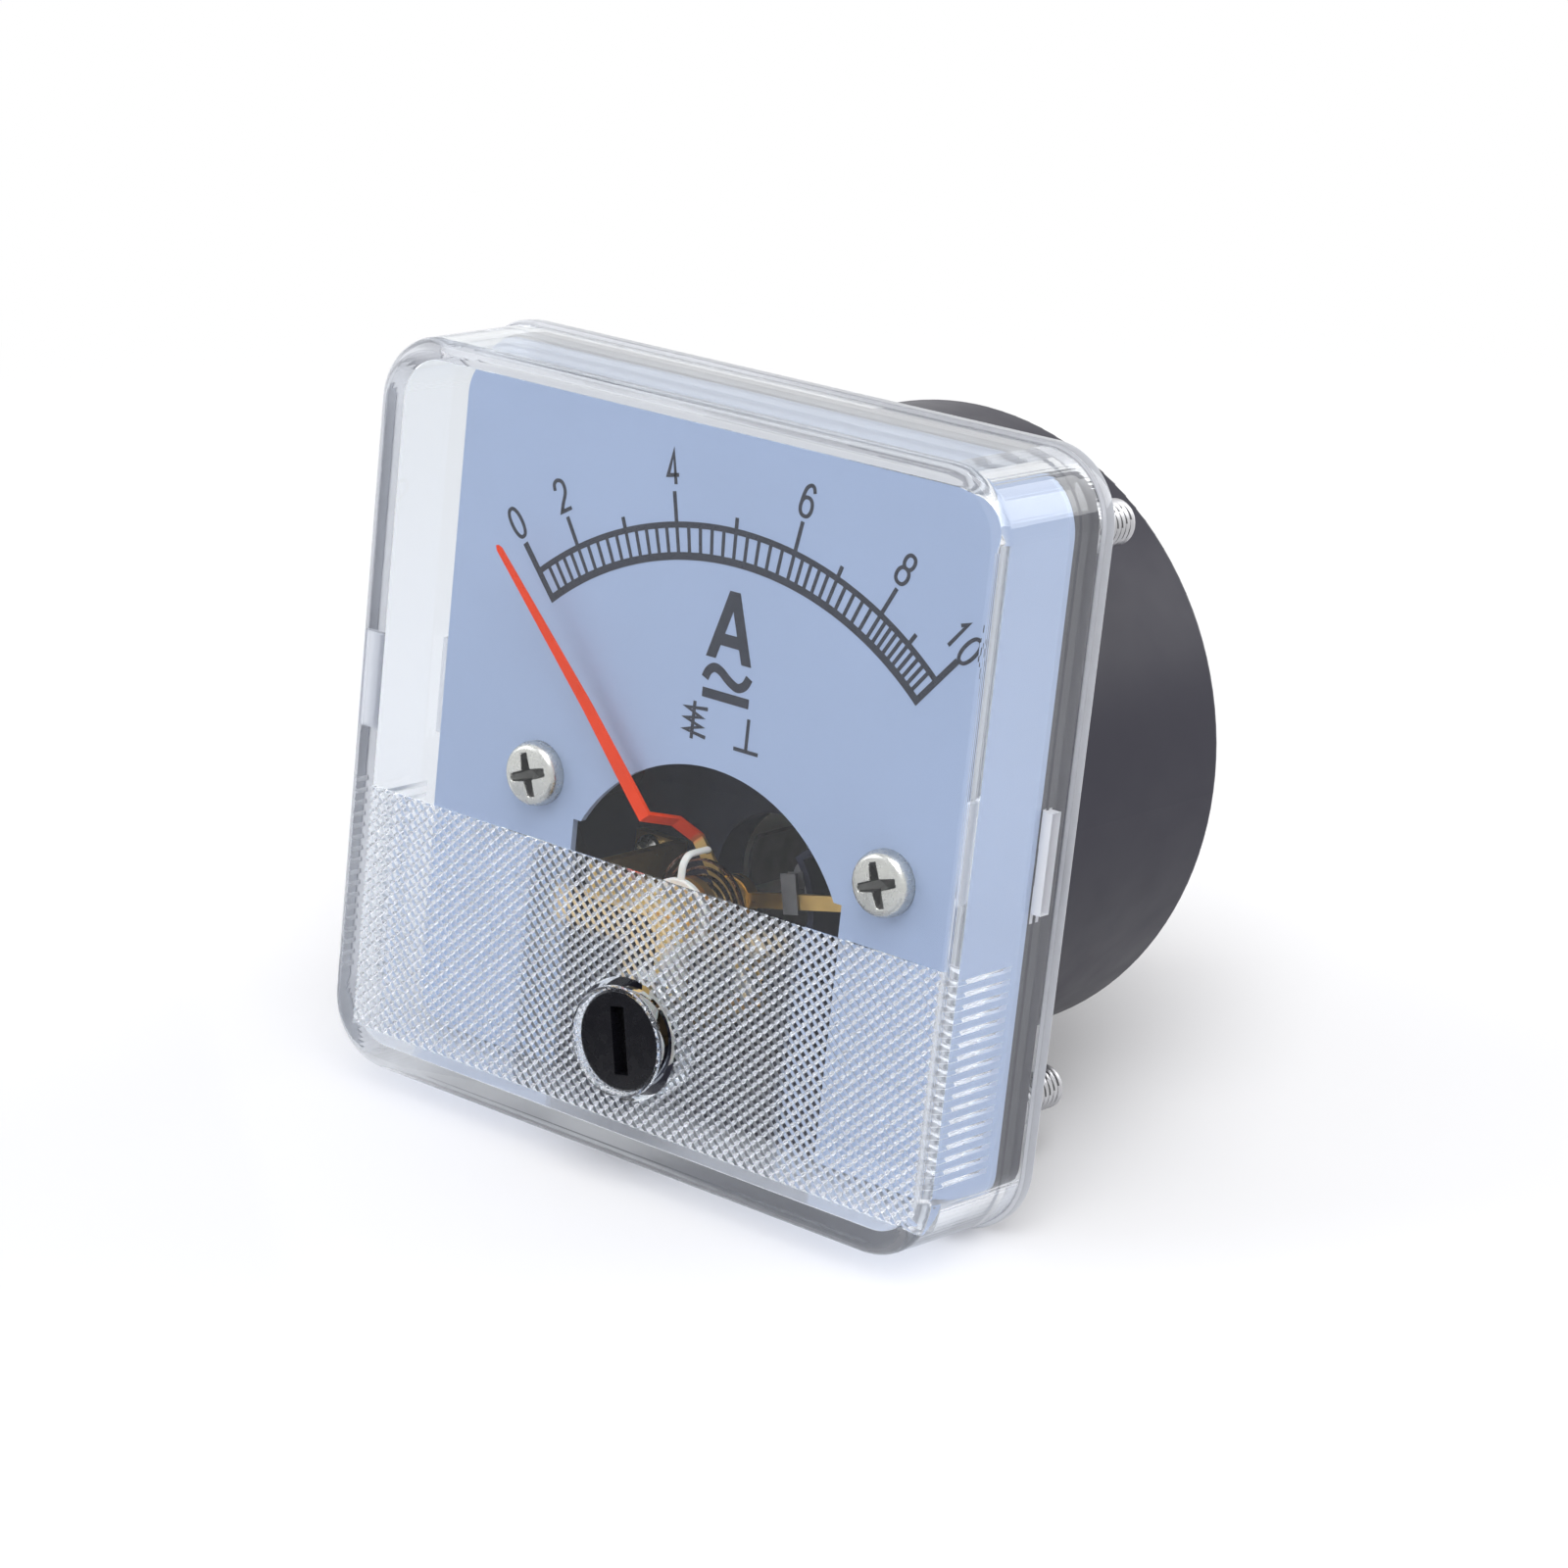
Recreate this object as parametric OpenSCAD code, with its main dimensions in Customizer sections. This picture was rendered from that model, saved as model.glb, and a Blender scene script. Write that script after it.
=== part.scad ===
// Analog panel meter of the moving-iron kind, 51 mm square bezel, for a round panel cut-out.
// Millimetres. The panel seat (back of the flange) is the plane y = 0, the dial faces -Y,
// the barrel runs towards +Y, +Z is up, and the origin lies on the barrel's axis.

/* [Front cover] */
// Width and height of the cover at its rim
bezel_size = 51; // [50:0.5:56]
// How far the cover's face stands in front of the panel
bezel_depth = 11.1; // [10.5:0.1:14]
// Thickness of the clear front wall
front_wall = 1.7; // [1.2:0.1:2.2]
// Thickness of the clear side walls at the rim
side_wall = 1.6; // [1.2:0.1:1.9]
// How much narrower each side is at the front than behind the rim
side_draft = 0.25; // [0:0.05:0.4]
// How far the rear rim stands proud of the side walls
rim_proud = 0.25; // [0.1:0.05:0.5]
// Length of the rear rim, front to back
rim_length = 1.0; // [0.6:0.1:1.4]
// Corner radius of the cover seen from the front
cover_corner = 4.6; // [3.8:0.1:6]
// Rounding of the edge round the front face
front_edge = 1.5; // [0.8:0.1:2]
// Height of the ridged field in the lower part of the front face
ridge_field_height = 16.8; // [12:0.1:17.5]
// How deep the ridged field is sunk in the inner side of the front wall
ridge_field_sink = 0.3; // [0.2:0.05:0.5]
// Length of the latch windows in the side walls
latch_length = 6.8; // [4:0.2:10]

/* [Zero adjuster] */
// Diameter of the slotted head
adjuster_head_d = 6.7; // [6:0.1:7.4]
// Height of the adjuster's axis above the barrel's axis (negative is below)
adjuster_z = -17; // [-18.4:0.1:-16.4]
// Length of the head, front to back
adjuster_head_length = 2.25; // [1.8:0.05:2.6]
// Diameter of the shaft in the sleeve
adjuster_shaft_d = 3.4; // [2.8:0.1:3.8]
// Distance of the crank pin from the adjuster's axis
crank_throw = 1.2; // [1:0.05:1.3]
// Diameter of the crank pin
crank_pin_d = 1.2; // [1:0.05:1.4]
// Length of the screwdriver slot
adjuster_slot_length = 4.5; // [3:0.1:5.4]
// Width of the screwdriver slot
adjuster_slot_width = 1.1; // [0.8:0.1:1.4]
// Angle that the slot was left at, clockwise from upright
adjuster_slot_angle = -12; // [-60:1:60]

/* [Base housing] */
// Diameter of the barrel that passes through the panel
barrel_d = 44; // [43.6:0.1:44.4]
// Length of the barrel behind the panel seat
barrel_length = 22.4; // [22.2:0.2:30]
// Thickness of the barrel's wall
barrel_wall = 2; // [1.6:0.1:2.1]
// Thickness of the square flange
flange_thickness = 2.6; // [2.4:0.1:3.2]
// Thickness of the closed rear wall
rear_wall = 1.8; // [1.5:0.1:2.2]
// Depth of the recess in the rear face
rear_recess = 0.6; // [0.3:0.1:0.9]

/* [Dial] */
// Thickness of the dial plate
dial_thickness = 0.5; // [0.3:0.05:0.8]
// Height of the dial plate's top edge above the barrel's axis
dial_top = 22.3; // [20:0.1:22.8]
// Radius of the arched window
dial_arch_r = 12.1; // [11.2:0.1:12.6]
// Height of the arch's centre above the barrel's axis
dial_arch_z = -12; // [-12.6:0.1:-11.4]
// Height of the small steps beside the arch
dial_step_z = -6.1; // [-7:0.1:-5.6]
// Half width of the window below the steps
dial_window_half = 11.2; // [10.8:0.1:11.4]
// Distance of each dial screw's axis from the barrel's inner wall, measured across
dial_screw_inset = 5.5; // [5.2:0.1:5.8]
// Height of the dial screws above the barrel's axis
dial_screw_z = -3.7; // [-4.2:0.1:-3.2]
// Head diameter of the dial screws
dial_screw_head_d = 4.4; // [4:0.1:4.6]

/* [Movement] */
// Height of the pointer's axis above the lowest point of the barrel's inner wall
pivot_height = 10.7; // [10.4:0.1:11]
// Angle of the resting pointer, clockwise from upright
pointer_rest = -41; // [-42:0.5:-40]
// Length of the pointer from its axis to the tip
pointer_length = 27.4; // [25:0.1:28]
// Width of the pointer at the elbow
pointer_width = 0.95; // [0.6:0.05:1.2]
// Thickness of the pointer's sheet
pointer_sheet = 0.26; // [0.2:0.02:0.4]
// Diameter of the pivot staff
staff_d = 1.0; // [0.8:0.05:1.2]
// Diameter of the staff's bearing pins
pivot_pin_d = 0.44; // [0.3:0.02:0.5]
// Gap between the damping chamber and the barrel's wall below it
chamber_gap = 0.3; // [0.2:0.05:0.6]
// Diameter of the coil's wire
wire_d = 1.05; // [1:0.05:1.1]
// Number of turns in each layer of the coil
turns_per_layer = 7; // [6:1:7]
// Gap between the bobbin's end flanges and the barrel's wall below them
bobbin_gap = 0.9; // [0.5:0.05:1.1]
// Number of turns in the hairspring
hairspring_turns = 5; // [3:1:6]

/* [Fixings] */
// Distance between neighbouring panel studs, across and up
stud_spacing = 38; // [37.6:0.1:38.6]
// Diameter of the panel studs
stud_d = 3; // [2.6:0.1:3.2]
// How far the panel studs stand out behind the flange
stud_length = 10.8; // [8:0.2:14]
// Diameter of the terminal studs
terminal_d = 4; // [3.6:0.1:4.2]
// Distance of each terminal stud from the middle
terminal_x = 10; // [9.8:0.1:10.2]
// Height of the terminal studs above the barrel's axis
terminal_z = 3; // [2.8:0.1:3.6]
// How far the terminal studs stand out behind the rear face
terminal_length = 12.6; // [12:0.2:18]

/* [Hidden] */

$fn = 72;
// Overlap that lets a cut pass cleanly through a face
eps = 0.02;
// Radial play of a turning fit
running = 0.05;
// Gap between parts that are assembled but never turn
seat = 0.1;

// Cover
rim_half = bezel_size / 2;
wall_half = rim_half - rim_proud;
front_half = wall_half - side_draft;
cavity_half = wall_half - side_wall;
cavity_corner = cover_corner - side_wall;
face_y = -bezel_depth;
inner_y = face_y + front_wall;
latch_width = 1.2;

// Base
barrel_r = barrel_d / 2;
bore_r = barrel_r - barrel_wall;
flange_half = cavity_half - seat - 0.05;
flange_corner = cavity_corner;
flange_front_y = -flange_thickness;
barrel_edge = 0.5;
pivot_z = pivot_height - bore_r;
rear_face_y = barrel_length - rear_recess;
floor_y = rear_face_y - rear_wall;
latch_y = flange_front_y + 0.5;
latch_lug = 0.6;
dial_post_r = 2.5;
post_shoulder = 0.6;
frame_post_r = 2.4;
frame_screw_across = (bore_r - 2.46) * cos(45);

// Dial
dial_front_y = flange_front_y - dial_thickness;
dial_half = flange_half;
dial_screw_x = bore_r - dial_screw_inset;
dial_screw_head_h = 1.3;
dial_screw_depth = 6;
screw_shank_r = 1.1;
screw_hole_r = screw_shank_r + running;

// Zero adjuster, whose head lies just behind the front face
adjuster_face_y = face_y + 0.2;
adjuster_shoulder_y = adjuster_face_y + adjuster_head_length;
sleeve_end_y = adjuster_shoulder_y + 1.25;
sleeve_r = adjuster_head_d / 2 + 0.75;
collar_front_y = sleeve_end_y + running;
collar_length = 0.6;

// Movement, front to back
lever_thickness = 0.5;
lever_front_y = dial_front_y - 2.5;
lever_back_y = lever_front_y + lever_thickness;
bridge_sheet = 0.7;
bridge_front_y = lever_back_y + 0.5;
bridge_back_y = bridge_front_y + bridge_sheet;
crank_pin_end_y = bridge_front_y - 0.35;
jewel_r = 1.2;
jewel_head_r = 1.9;
jewel_rear_y = bridge_back_y + 0.7;
pin_length = 0.75;
staff_front_y = jewel_rear_y + 0.05;
collet_y = staff_front_y + 0.15;
collet_length = 0.6;
collet_r = 0.95;
spring_height = 0.3;
spring_y = collet_y + 0.15;
pointer_root_y = 0;
arms_front_y = pointer_root_y + pointer_sheet / 2;
arms_sheet = 0.5;
arms_mid_y = arms_front_y + arms_sheet / 2;
frame_front_y = 5;
frame_thickness = 1.5;
frame_back_y = frame_front_y + frame_thickness;
frame_screw_head_r = 1.9;
frame_screw_head_h = 1.1;
frame_screw_depth = 4;
rear_jewel_gap = 1.6;
rear_jewel_stand = 1.6;
rear_jewel_reach = 1.6;
bobbin_end_y = floor_y - rear_jewel_gap - rear_jewel_stand;
staff_rear_y = bobbin_end_y - rear_jewel_reach;
elbow_r = 6.9;
pointer_ring_r = 1.5;
pointer_tip_w = 0.32;
pointer_bend_r = 15;
lever_drop = pivot_z - adjuster_z;
lever_rise = 4.25;
lever_ring_r = 2.4;
lever_arm_w = 1.6;
lever_tab_w = 0.9;
lever_tab_t = 0.5;
fork_play = 0.15;
fork_rise = 0.4;
spring_outer_r = lever_rise - lever_tab_t;
spring_strip = 0.12;
hub_r = 1.6;
short_arm_r = 4.6;
short_arm_w = 0.8;
vane_arm_w = 1.0;
weight_length = 1.5;
bridge_strip = 2.4;
bridge_boss_r = 2.3;
bridge_reach = 10.2;
bridge_wall_gap = 3.6;
bridge_step = 1.8;
bridge_foot = 1.4;
bridge_screw_head_r = 1.15;
bridge_screw_head_h = 0.7;
bridge_screw_r = 0.7;

// Damping chamber and its vane, measured from the pointer's axis
chamber_wall = 0.5;
chamber_in = 6.2;
chamber_out = pivot_height - chamber_gap - chamber_wall;
vane_t = 0.3;
vane_in = chamber_in + 0.4;
vane_out = chamber_out - 0.4;
vane_arm_length = vane_out + 0.1;

// Angles of the moving pieces at rest, clockwise from upright
vane_arm_angle = pointer_rest + 118;
tail_angle = pointer_rest + 180;
side_arm_angle = vane_arm_angle + 180;
moving_vane_angle = -125;
fixed_vane_angle = -158;
chamber_start = vane_arm_angle - 11;
chamber_end = vane_arm_angle + 93;

// Coil
bobbin_flange_r = pivot_height - bobbin_gap;
layer_pitch = 0.9 * wire_d;
coil_layers = 3;
outer_layer_r = bobbin_flange_r - 0.31 - wire_d / 2;
bobbin_core_r = outer_layer_r - (coil_layers - 1) * layer_pitch - wire_d / 2 - running;
bobbin_bore_r = bobbin_core_r - 0.85;
flange_t = 0.9;
bobbin_end_t = 1.0;
coil_front_y = frame_back_y + flange_t;
coil_rear_y = bobbin_end_y - flange_t - 0.9;
turn_pitch = (coil_rear_y - coil_front_y) / turns_per_layer;
spigot_length = 1.4;

// Vanes in the coil
iron_t = 0.3;
vane_carrier_w = 1.6;
fixed_vane_r = bobbin_bore_r - running - iron_t;
moving_vane_r = fixed_vane_r - iron_t - 0.5;
vane_end_gap = 1.6;
vane_front_y = frame_back_y + spigot_length + 0.3;
vane_length = bobbin_end_y - bobbin_end_t - vane_end_gap - vane_front_y;

// Fixings
stud_half = stud_spacing / 2;
stud_seat_y = 0.5 - flange_thickness;
stud_head_r = stud_d / 2 + 0.4;
stud_chamfer = 0.5;
terminal_head_t = 2.4;
terminal_head_y = floor_y - terminal_head_t;
terminal_end_y = rear_face_y + terminal_length;
washer_r = 4.4;
washer_t = 0.8;
spring_washer_r = 3.4;
spring_washer_t = 1.0;
nut_t = 3.2;
nut_flats = 7;

// ---- Helpers ----

// A front-view drawing (x to the right, y up) extruded from y_front back by t
module sheet(y_front, t) {
    translate([0, y_front + t, 0]) rotate([90, 0, 0]) linear_extrude(t) children();
}

// A round bar along Y between two depths, at [x, z]
module bar(at, y0, y1, r) {
    translate([at.x, y0, at.y]) rotate([-90, 0, 0]) cylinder(h = y1 - y0, r = r);
}

// A hexagonal bar along Y, given across flats
module hex_bar(at, y0, y1, flats) {
    translate([at.x, y0, at.y]) rotate([-90, 0, 0])
        cylinder(h = y1 - y0, r = flats / sqrt(3), $fn = 6);
}

// A turned piece: its profile is drawn as [radius, y] and spun about [x, z]
module turned(at, angle = 360) {
    translate([at.x, 0, at.y]) rotate([-90, 0, 0]) rotate_extrude(angle = angle) children();
}

// A square with rounded corners, built so that its arcs stay true arcs
module rounded_square(half, r) {
    square([2 * half, 2 * (half - r)], center = true);
    square([2 * (half - r), 2 * half], center = true);
    for (sx = [-1, 1], sy = [-1, 1])
        translate([sx * (half - r), sy * (half - r)]) circle(r = r);
}

// Children turned clockwise about the pointer's axis, drawn upright from that axis
module about_pivot(angle) {
    translate([0, 0, pivot_z]) rotate([0, angle, 0]) children();
}

// A flat strip that runs outwards from the pointer's axis, drawn upright
module arm(r0, r1, width, y_front, t) {
    sheet(y_front, t) translate([-width / 2, r0]) square([width, r1 - r0]);
}

// A wire through a list of points
module wire(points, d) {
    for (i = [0 : len(points) - 2]) {
        run = points[i + 1] - points[i];
        reach = norm(run);
        translate(points[i])
            rotate([0, acos(run.z / reach), atan2(run.y, run.x)])
                cylinder(h = reach, d = d, $fn = 32);
    }
    for (i = [1 : len(points) - 2])
        translate(points[i]) sphere(d = d + 2 * eps, $fn = 32);
}

// Both sides of a bent sheet of thickness t along a path in the plane of [radius, y]
function unit(v) = v / norm(v);
function normal_at(path, i) =
    let (a = i > 0 ? unit(path[i] - path[i - 1]) : [0, 0],
         b = i < len(path) - 1 ? unit(path[i + 1] - path[i]) : [0, 0],
         m = unit(a + b),
         open = i > 0 && i < len(path) - 1 ? m * a : 1)
    [-m.y, m.x] / open;
function bent_sheet(path, t) = concat(
    [for (i = [0 : len(path) - 1]) path[i] + normal_at(path, i) * t / 2],
    [for (i = [len(path) - 1 : -1 : 0]) path[i] - normal_at(path, i) * t / 2]);

// A pan-head screw along Y, its head in front of seat_y, with a cross recess
module pan_screw(at, seat_y, head_r, head_h, shank_r, shank_end_y) {
    difference() {
        union() {
            turned(at) polygon([[0, seat_y - head_h], [head_r * 0.62, seat_y - head_h],
                [head_r * 0.9, seat_y - head_h * 0.72], [head_r, seat_y - head_h * 0.35],
                [head_r, seat_y], [0, seat_y]]);
            bar(at, seat_y - eps, shank_end_y, shank_r);
        }
        for (turn = [0, 90])
            translate([at.x, seat_y - head_h - eps, at.y]) rotate([0, turn + 20, 0])
                translate([-head_r * 0.58, 0, -head_r * 0.11])
                    cube([head_r * 1.16, head_h * 0.6, head_r * 0.22]);
    }
}

// ---- Cover and adjuster ----

module cover_outside() {
    hull() {
        for (sx = [-1, 1], sz = [-1, 1])
            translate([sx * (front_half - cover_corner), face_y + front_edge,
                       sz * (front_half - cover_corner)])
                rotate([90, 0, 0]) rotate_extrude($fn = 32)
                    translate([cover_corner - front_edge, 0]) circle(r = front_edge, $fn = 24);
        sheet(-rim_length, eps) rounded_square(wall_half, cover_corner, $fn = 32);
    }
    sheet(-rim_length, rim_length) rounded_square(rim_half, cover_corner + rim_proud);
}

module front_cover() {
    color([0.93, 0.95, 0.97, 0.45]) difference() {
        union() {
            difference() {
                cover_outside();
                hull() {
                    sheet(inner_y, eps)
                        rounded_square(cavity_half - side_draft / 2, cavity_corner, $fn = 32);
                    sheet(-eps, 2 * eps) rounded_square(cavity_half, cavity_corner, $fn = 32);
                }
                // Latch windows in both side walls
                for (side = [-1, 1])
                    translate([side * (cavity_half + side_wall / 2), latch_y, 0])
                        cube([side_wall + 1, latch_width, latch_length], center = true);
                // Sunk field behind the ridges, below the dial's steps
                sheet(inner_y - ridge_field_sink, ridge_field_sink + eps)
                    translate([-(cavity_half - 0.6), -(cavity_half - 1)])
                        square([2 * (cavity_half - 0.6), ridge_field_height]);
            }
            // Sleeve behind the face and the thin raised ring round the head
            bar([0, adjuster_z], inner_y - ridge_field_sink - 0.3, sleeve_end_y, sleeve_r);
            bar([0, adjuster_z], face_y - 0.25, face_y + 0.5, adjuster_head_d / 2 + 0.35);
        }
        bar([0, adjuster_z], face_y - 1, adjuster_shoulder_y, adjuster_head_d / 2 + running);
        bar([0, adjuster_z], face_y - 1, sleeve_end_y + 1, adjuster_shaft_d / 2 + running);
    }
}

module zero_adjuster() {
    shaft_r = adjuster_shaft_d / 2;
    color([0.13, 0.13, 0.15]) difference() {
        union() {
            turned([0, adjuster_z]) polygon([[0, adjuster_face_y],
                [adjuster_head_d / 2 - 0.15, adjuster_face_y],
                [adjuster_head_d / 2, adjuster_face_y + 0.15],
                [adjuster_head_d / 2, adjuster_shoulder_y - running],
                [shaft_r, adjuster_shoulder_y - running],
                [shaft_r, collar_front_y],
                [shaft_r + 0.4, collar_front_y],
                [shaft_r + 0.15, collar_front_y + collar_length],
                [0, collar_front_y + collar_length]]);
            bar([0, adjuster_z - crank_throw], collar_front_y + collar_length - eps,
                crank_pin_end_y, crank_pin_d / 2);
        }
        translate([0, adjuster_face_y, adjuster_z]) rotate([0, adjuster_slot_angle, 0])
            cube([adjuster_slot_width, 2.4, adjuster_slot_length], center = true);
    }
}

// ---- Base housing ----

module base_housing() {
    color([0.16, 0.16, 0.19]) difference() {
        union() {
            sheet(flange_front_y, flange_thickness) rounded_square(flange_half, flange_corner);
            turned([0, 0]) difference() {
                union() {
                    translate([0, flange_front_y])
                        square([barrel_r, barrel_length - barrel_edge - flange_front_y]);
                    translate([0, barrel_length - barrel_edge - eps])
                        square([barrel_r - barrel_edge, barrel_edge + eps]);
                    translate([barrel_r - barrel_edge, barrel_length - barrel_edge])
                        circle(r = barrel_edge, $fn = 32);
                }
                translate([-eps, rear_face_y]) square([bore_r - 1 + eps, rear_recess + 1]);
            }
            // Latch lugs that snap into the cover's windows
            for (side = [-1, 1])
                translate([side * flange_half, latch_y, 0])
                    cube([2 * latch_lug, latch_width - 0.4, latch_length - 0.4], center = true);
        }
        difference() {
            bar([0, 0], flange_front_y - 1, floor_y, bore_r);
            for (side = [-1, 1]) {
                // Post of a dial screw, with a shoulder that carries the movement frame
                bar([side * dial_screw_x, dial_screw_z], flange_front_y, floor_y + 1, dial_post_r);
                bar([side * dial_screw_x, dial_screw_z], frame_back_y, floor_y + 1,
                    dial_post_r + post_shoulder);
                bar([side * frame_screw_across, -frame_screw_across], frame_back_y, floor_y + 1,
                    frame_post_r);
            }
        }
        for (side = [-1, 1]) {
            bar([side * dial_screw_x, dial_screw_z], flange_front_y - 1,
                flange_front_y + dial_screw_depth + 2, screw_hole_r);
            bar([side * frame_screw_across, -frame_screw_across], frame_back_y - 1,
                frame_back_y + frame_screw_depth + 1, screw_hole_r);
            bar([side * terminal_x, terminal_z], floor_y - 1, rear_face_y + 1,
                terminal_d / 2 + running);
            for (up = [-1, 1])
                bar([side * stud_half, up * stud_half], stud_seat_y, 1, stud_head_r);
        }
    }
}

// ---- Dial ----

module dial_plate() {
    color([0.68, 0.74, 0.85]) sheet(dial_front_y, dial_thickness) difference() {
        rounded_square(dial_half, flange_corner);
        translate([-dial_half - 1, dial_top]) square([2 * dial_half + 2, dial_half]);
        intersection() {
            translate([0, dial_arch_z]) circle(r = dial_arch_r);
            translate([-dial_half, dial_step_z]) square([2 * dial_half, dial_half]);
        }
        translate([-dial_window_half, -dial_half - 1])
            square([2 * dial_window_half, dial_half + 1 + dial_step_z]);
        for (side = [-1, 1])
            translate([side * dial_screw_x, dial_screw_z]) circle(r = screw_hole_r + 0.25);
    }
}

module dial_screw(side) {
    color([0.8, 0.79, 0.76])
        pan_screw([side * dial_screw_x, dial_screw_z], dial_front_y, dial_screw_head_d / 2,
            dial_screw_head_h, screw_shank_r, flange_front_y + dial_screw_depth);
}

// ---- Movement frame and coil ----

function bridge_foot_left() = [-bridge_reach, pivot_z];
function bridge_foot_low() = [-1, bridge_wall_gap - bore_r];

module movement_frame() {
    top_y = arms_front_y + arms_sheet + 0.4;
    color([0.12, 0.12, 0.13]) difference() {
        union() {
            bar([0, 0], frame_front_y, frame_back_y, bore_r - 0.3);
            // Spigot that centres the bobbin
            bar([0, pivot_z], frame_back_y - eps, frame_back_y + spigot_length,
                bobbin_bore_r - running);
            // Damping chamber, open to the front
            difference() {
                about_pivot(chamber_start - 1.5) turned([0, 0], -(chamber_end - chamber_start + 3))
                    translate([chamber_in - chamber_wall, top_y])
                        square([chamber_out - chamber_in + 2 * chamber_wall,
                                frame_front_y - top_y + eps]);
                about_pivot(chamber_start) turned([0, 0], -(chamber_end - chamber_start))
                    translate([chamber_in, top_y - 1])
                        square([chamber_out - chamber_in, frame_front_y - top_y + 1]);
            }
        }
        bar([0, pivot_z], frame_front_y - 1, frame_back_y + spigot_length + 1,
            bobbin_bore_r - 0.65);
        for (side = [-1, 1]) {
            bar([side * dial_screw_x, dial_screw_z], frame_front_y - 1, frame_back_y + 1,
                dial_post_r + seat);
            bar([side * frame_screw_across, -frame_screw_across], frame_front_y - 1,
                frame_back_y + 1, screw_hole_r + seat);
        }
        for (foot = [bridge_foot_left(), bridge_foot_low()])
            bar(foot, frame_front_y - 1, frame_back_y - 0.2, bridge_screw_r + running);
    }
}

module frame_screws() {
    color([0.75, 0.75, 0.74]) for (side = [-1, 1])
        pan_screw([side * frame_screw_across, -frame_screw_across], frame_front_y,
            frame_screw_head_r, frame_screw_head_h, screw_shank_r,
            frame_back_y + frame_screw_depth);
}

module bearing_bridge() {
    left = bridge_foot_left();
    low = bridge_foot_low();
    leg_x = left.x + bridge_step;
    leg_z = low.y - bridge_step;
    depth = frame_front_y - bridge_front_y;
    color([0.79, 0.65, 0.4]) difference() {
        union() {
            // Front web, an L with a round boss at the bearing
            sheet(bridge_front_y, bridge_sheet) {
                translate([0, pivot_z]) circle(r = bridge_boss_r);
                translate([leg_x, pivot_z - bridge_strip / 2]) square([-leg_x, bridge_strip]);
                translate([low.x - bridge_strip / 2, leg_z]) square([bridge_strip, pivot_z - leg_z]);
            }
            // Legs back to the frame, each with a foot
            translate([leg_x, bridge_front_y, pivot_z - bridge_strip / 2])
                cube([bridge_sheet, depth, bridge_strip]);
            translate([left.x - bridge_foot, frame_front_y - bridge_sheet,
                       pivot_z - bridge_strip / 2])
                cube([leg_x - left.x + bridge_foot + eps, bridge_sheet, bridge_strip]);
            translate([low.x - bridge_strip / 2, bridge_front_y, leg_z])
                cube([bridge_strip, depth, bridge_sheet]);
            translate([low.x - bridge_strip / 2, frame_front_y - bridge_sheet, leg_z])
                cube([bridge_strip, bridge_sheet, bridge_step + bridge_foot]);
        }
        bar([0, pivot_z], bridge_front_y - 1, bridge_back_y + 1, jewel_r);
        for (foot = [left, low])
            bar(foot, frame_front_y - bridge_sheet - 1, frame_front_y + 1,
                bridge_screw_r + seat);
    }
}

module bridge_screws() {
    color([0.75, 0.75, 0.74]) for (foot = [bridge_foot_left(), bridge_foot_low()])
        pan_screw(foot, frame_front_y - bridge_sheet, bridge_screw_head_r, bridge_screw_head_h,
            bridge_screw_r, frame_back_y - 0.3);
}

// A bearing screw: slotted outer end, and a cup for the staff's pin at the inner end
module jewel_screw(outer_y, inner_y, shoulder_y) {
    toward = inner_y > outer_y ? 1 : -1;
    at = [0, pivot_z];
    difference() {
        union() {
            bar(at, min(outer_y, inner_y), max(outer_y, inner_y), jewel_r);
            // Slotted head
            bar(at, min(outer_y, outer_y + toward * 0.65), max(outer_y, outer_y + toward * 0.65),
                jewel_head_r);
            // Shoulder that the bridge or wall is clamped against
            if (toward > 0)
                bar(at, shoulder_y - 0.45, shoulder_y, jewel_head_r);
        }
        translate([0, outer_y, pivot_z]) cube([2 * jewel_head_r + 1, 0.7, 0.5], center = true);
        bar(at, min(inner_y - toward * (pin_length + 0.1), inner_y + toward),
            max(inner_y - toward * (pin_length + 0.1), inner_y + toward),
            pivot_pin_d / 2 + running);
    }
}

module front_jewel_screw() {
    color([0.83, 0.7, 0.42]) jewel_screw(lever_front_y - running - 0.65, jewel_rear_y, bridge_front_y);
}

module rear_jewel_screw() {
    color([0.83, 0.7, 0.42]) jewel_screw(floor_y - rear_jewel_gap, staff_rear_y + 0.05, bobbin_end_y);
}

// Where a lead of the coil leaves it, through the bobbin's rear flange
function lead_exit(side) = let (angle = side * 42, r = outer_layer_r - wire_d)
    [r * sin(angle), pivot_z + r * cos(angle)];

module coil_bobbin() {
    color([0.9, 0.89, 0.85]) difference() {
        turned([0, pivot_z]) difference() {
            union() {
                translate([0, frame_back_y]) square([bobbin_core_r, bobbin_end_y - frame_back_y]);
                translate([0, frame_back_y]) square([bobbin_flange_r, flange_t]);
                translate([0, coil_rear_y]) square([bobbin_flange_r, flange_t]);
            }
            translate([-eps, frame_back_y - 1])
                square([bobbin_bore_r + eps, bobbin_end_y - bobbin_end_t - frame_back_y + 1]);
            translate([-eps, frame_back_y]) square([jewel_r + eps, bobbin_end_y]);
        }
        for (side = [-1, 1])
            bar(lead_exit(side), coil_rear_y - 1, coil_rear_y + 2, wire_d / 2 + running);
    }
}

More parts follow.
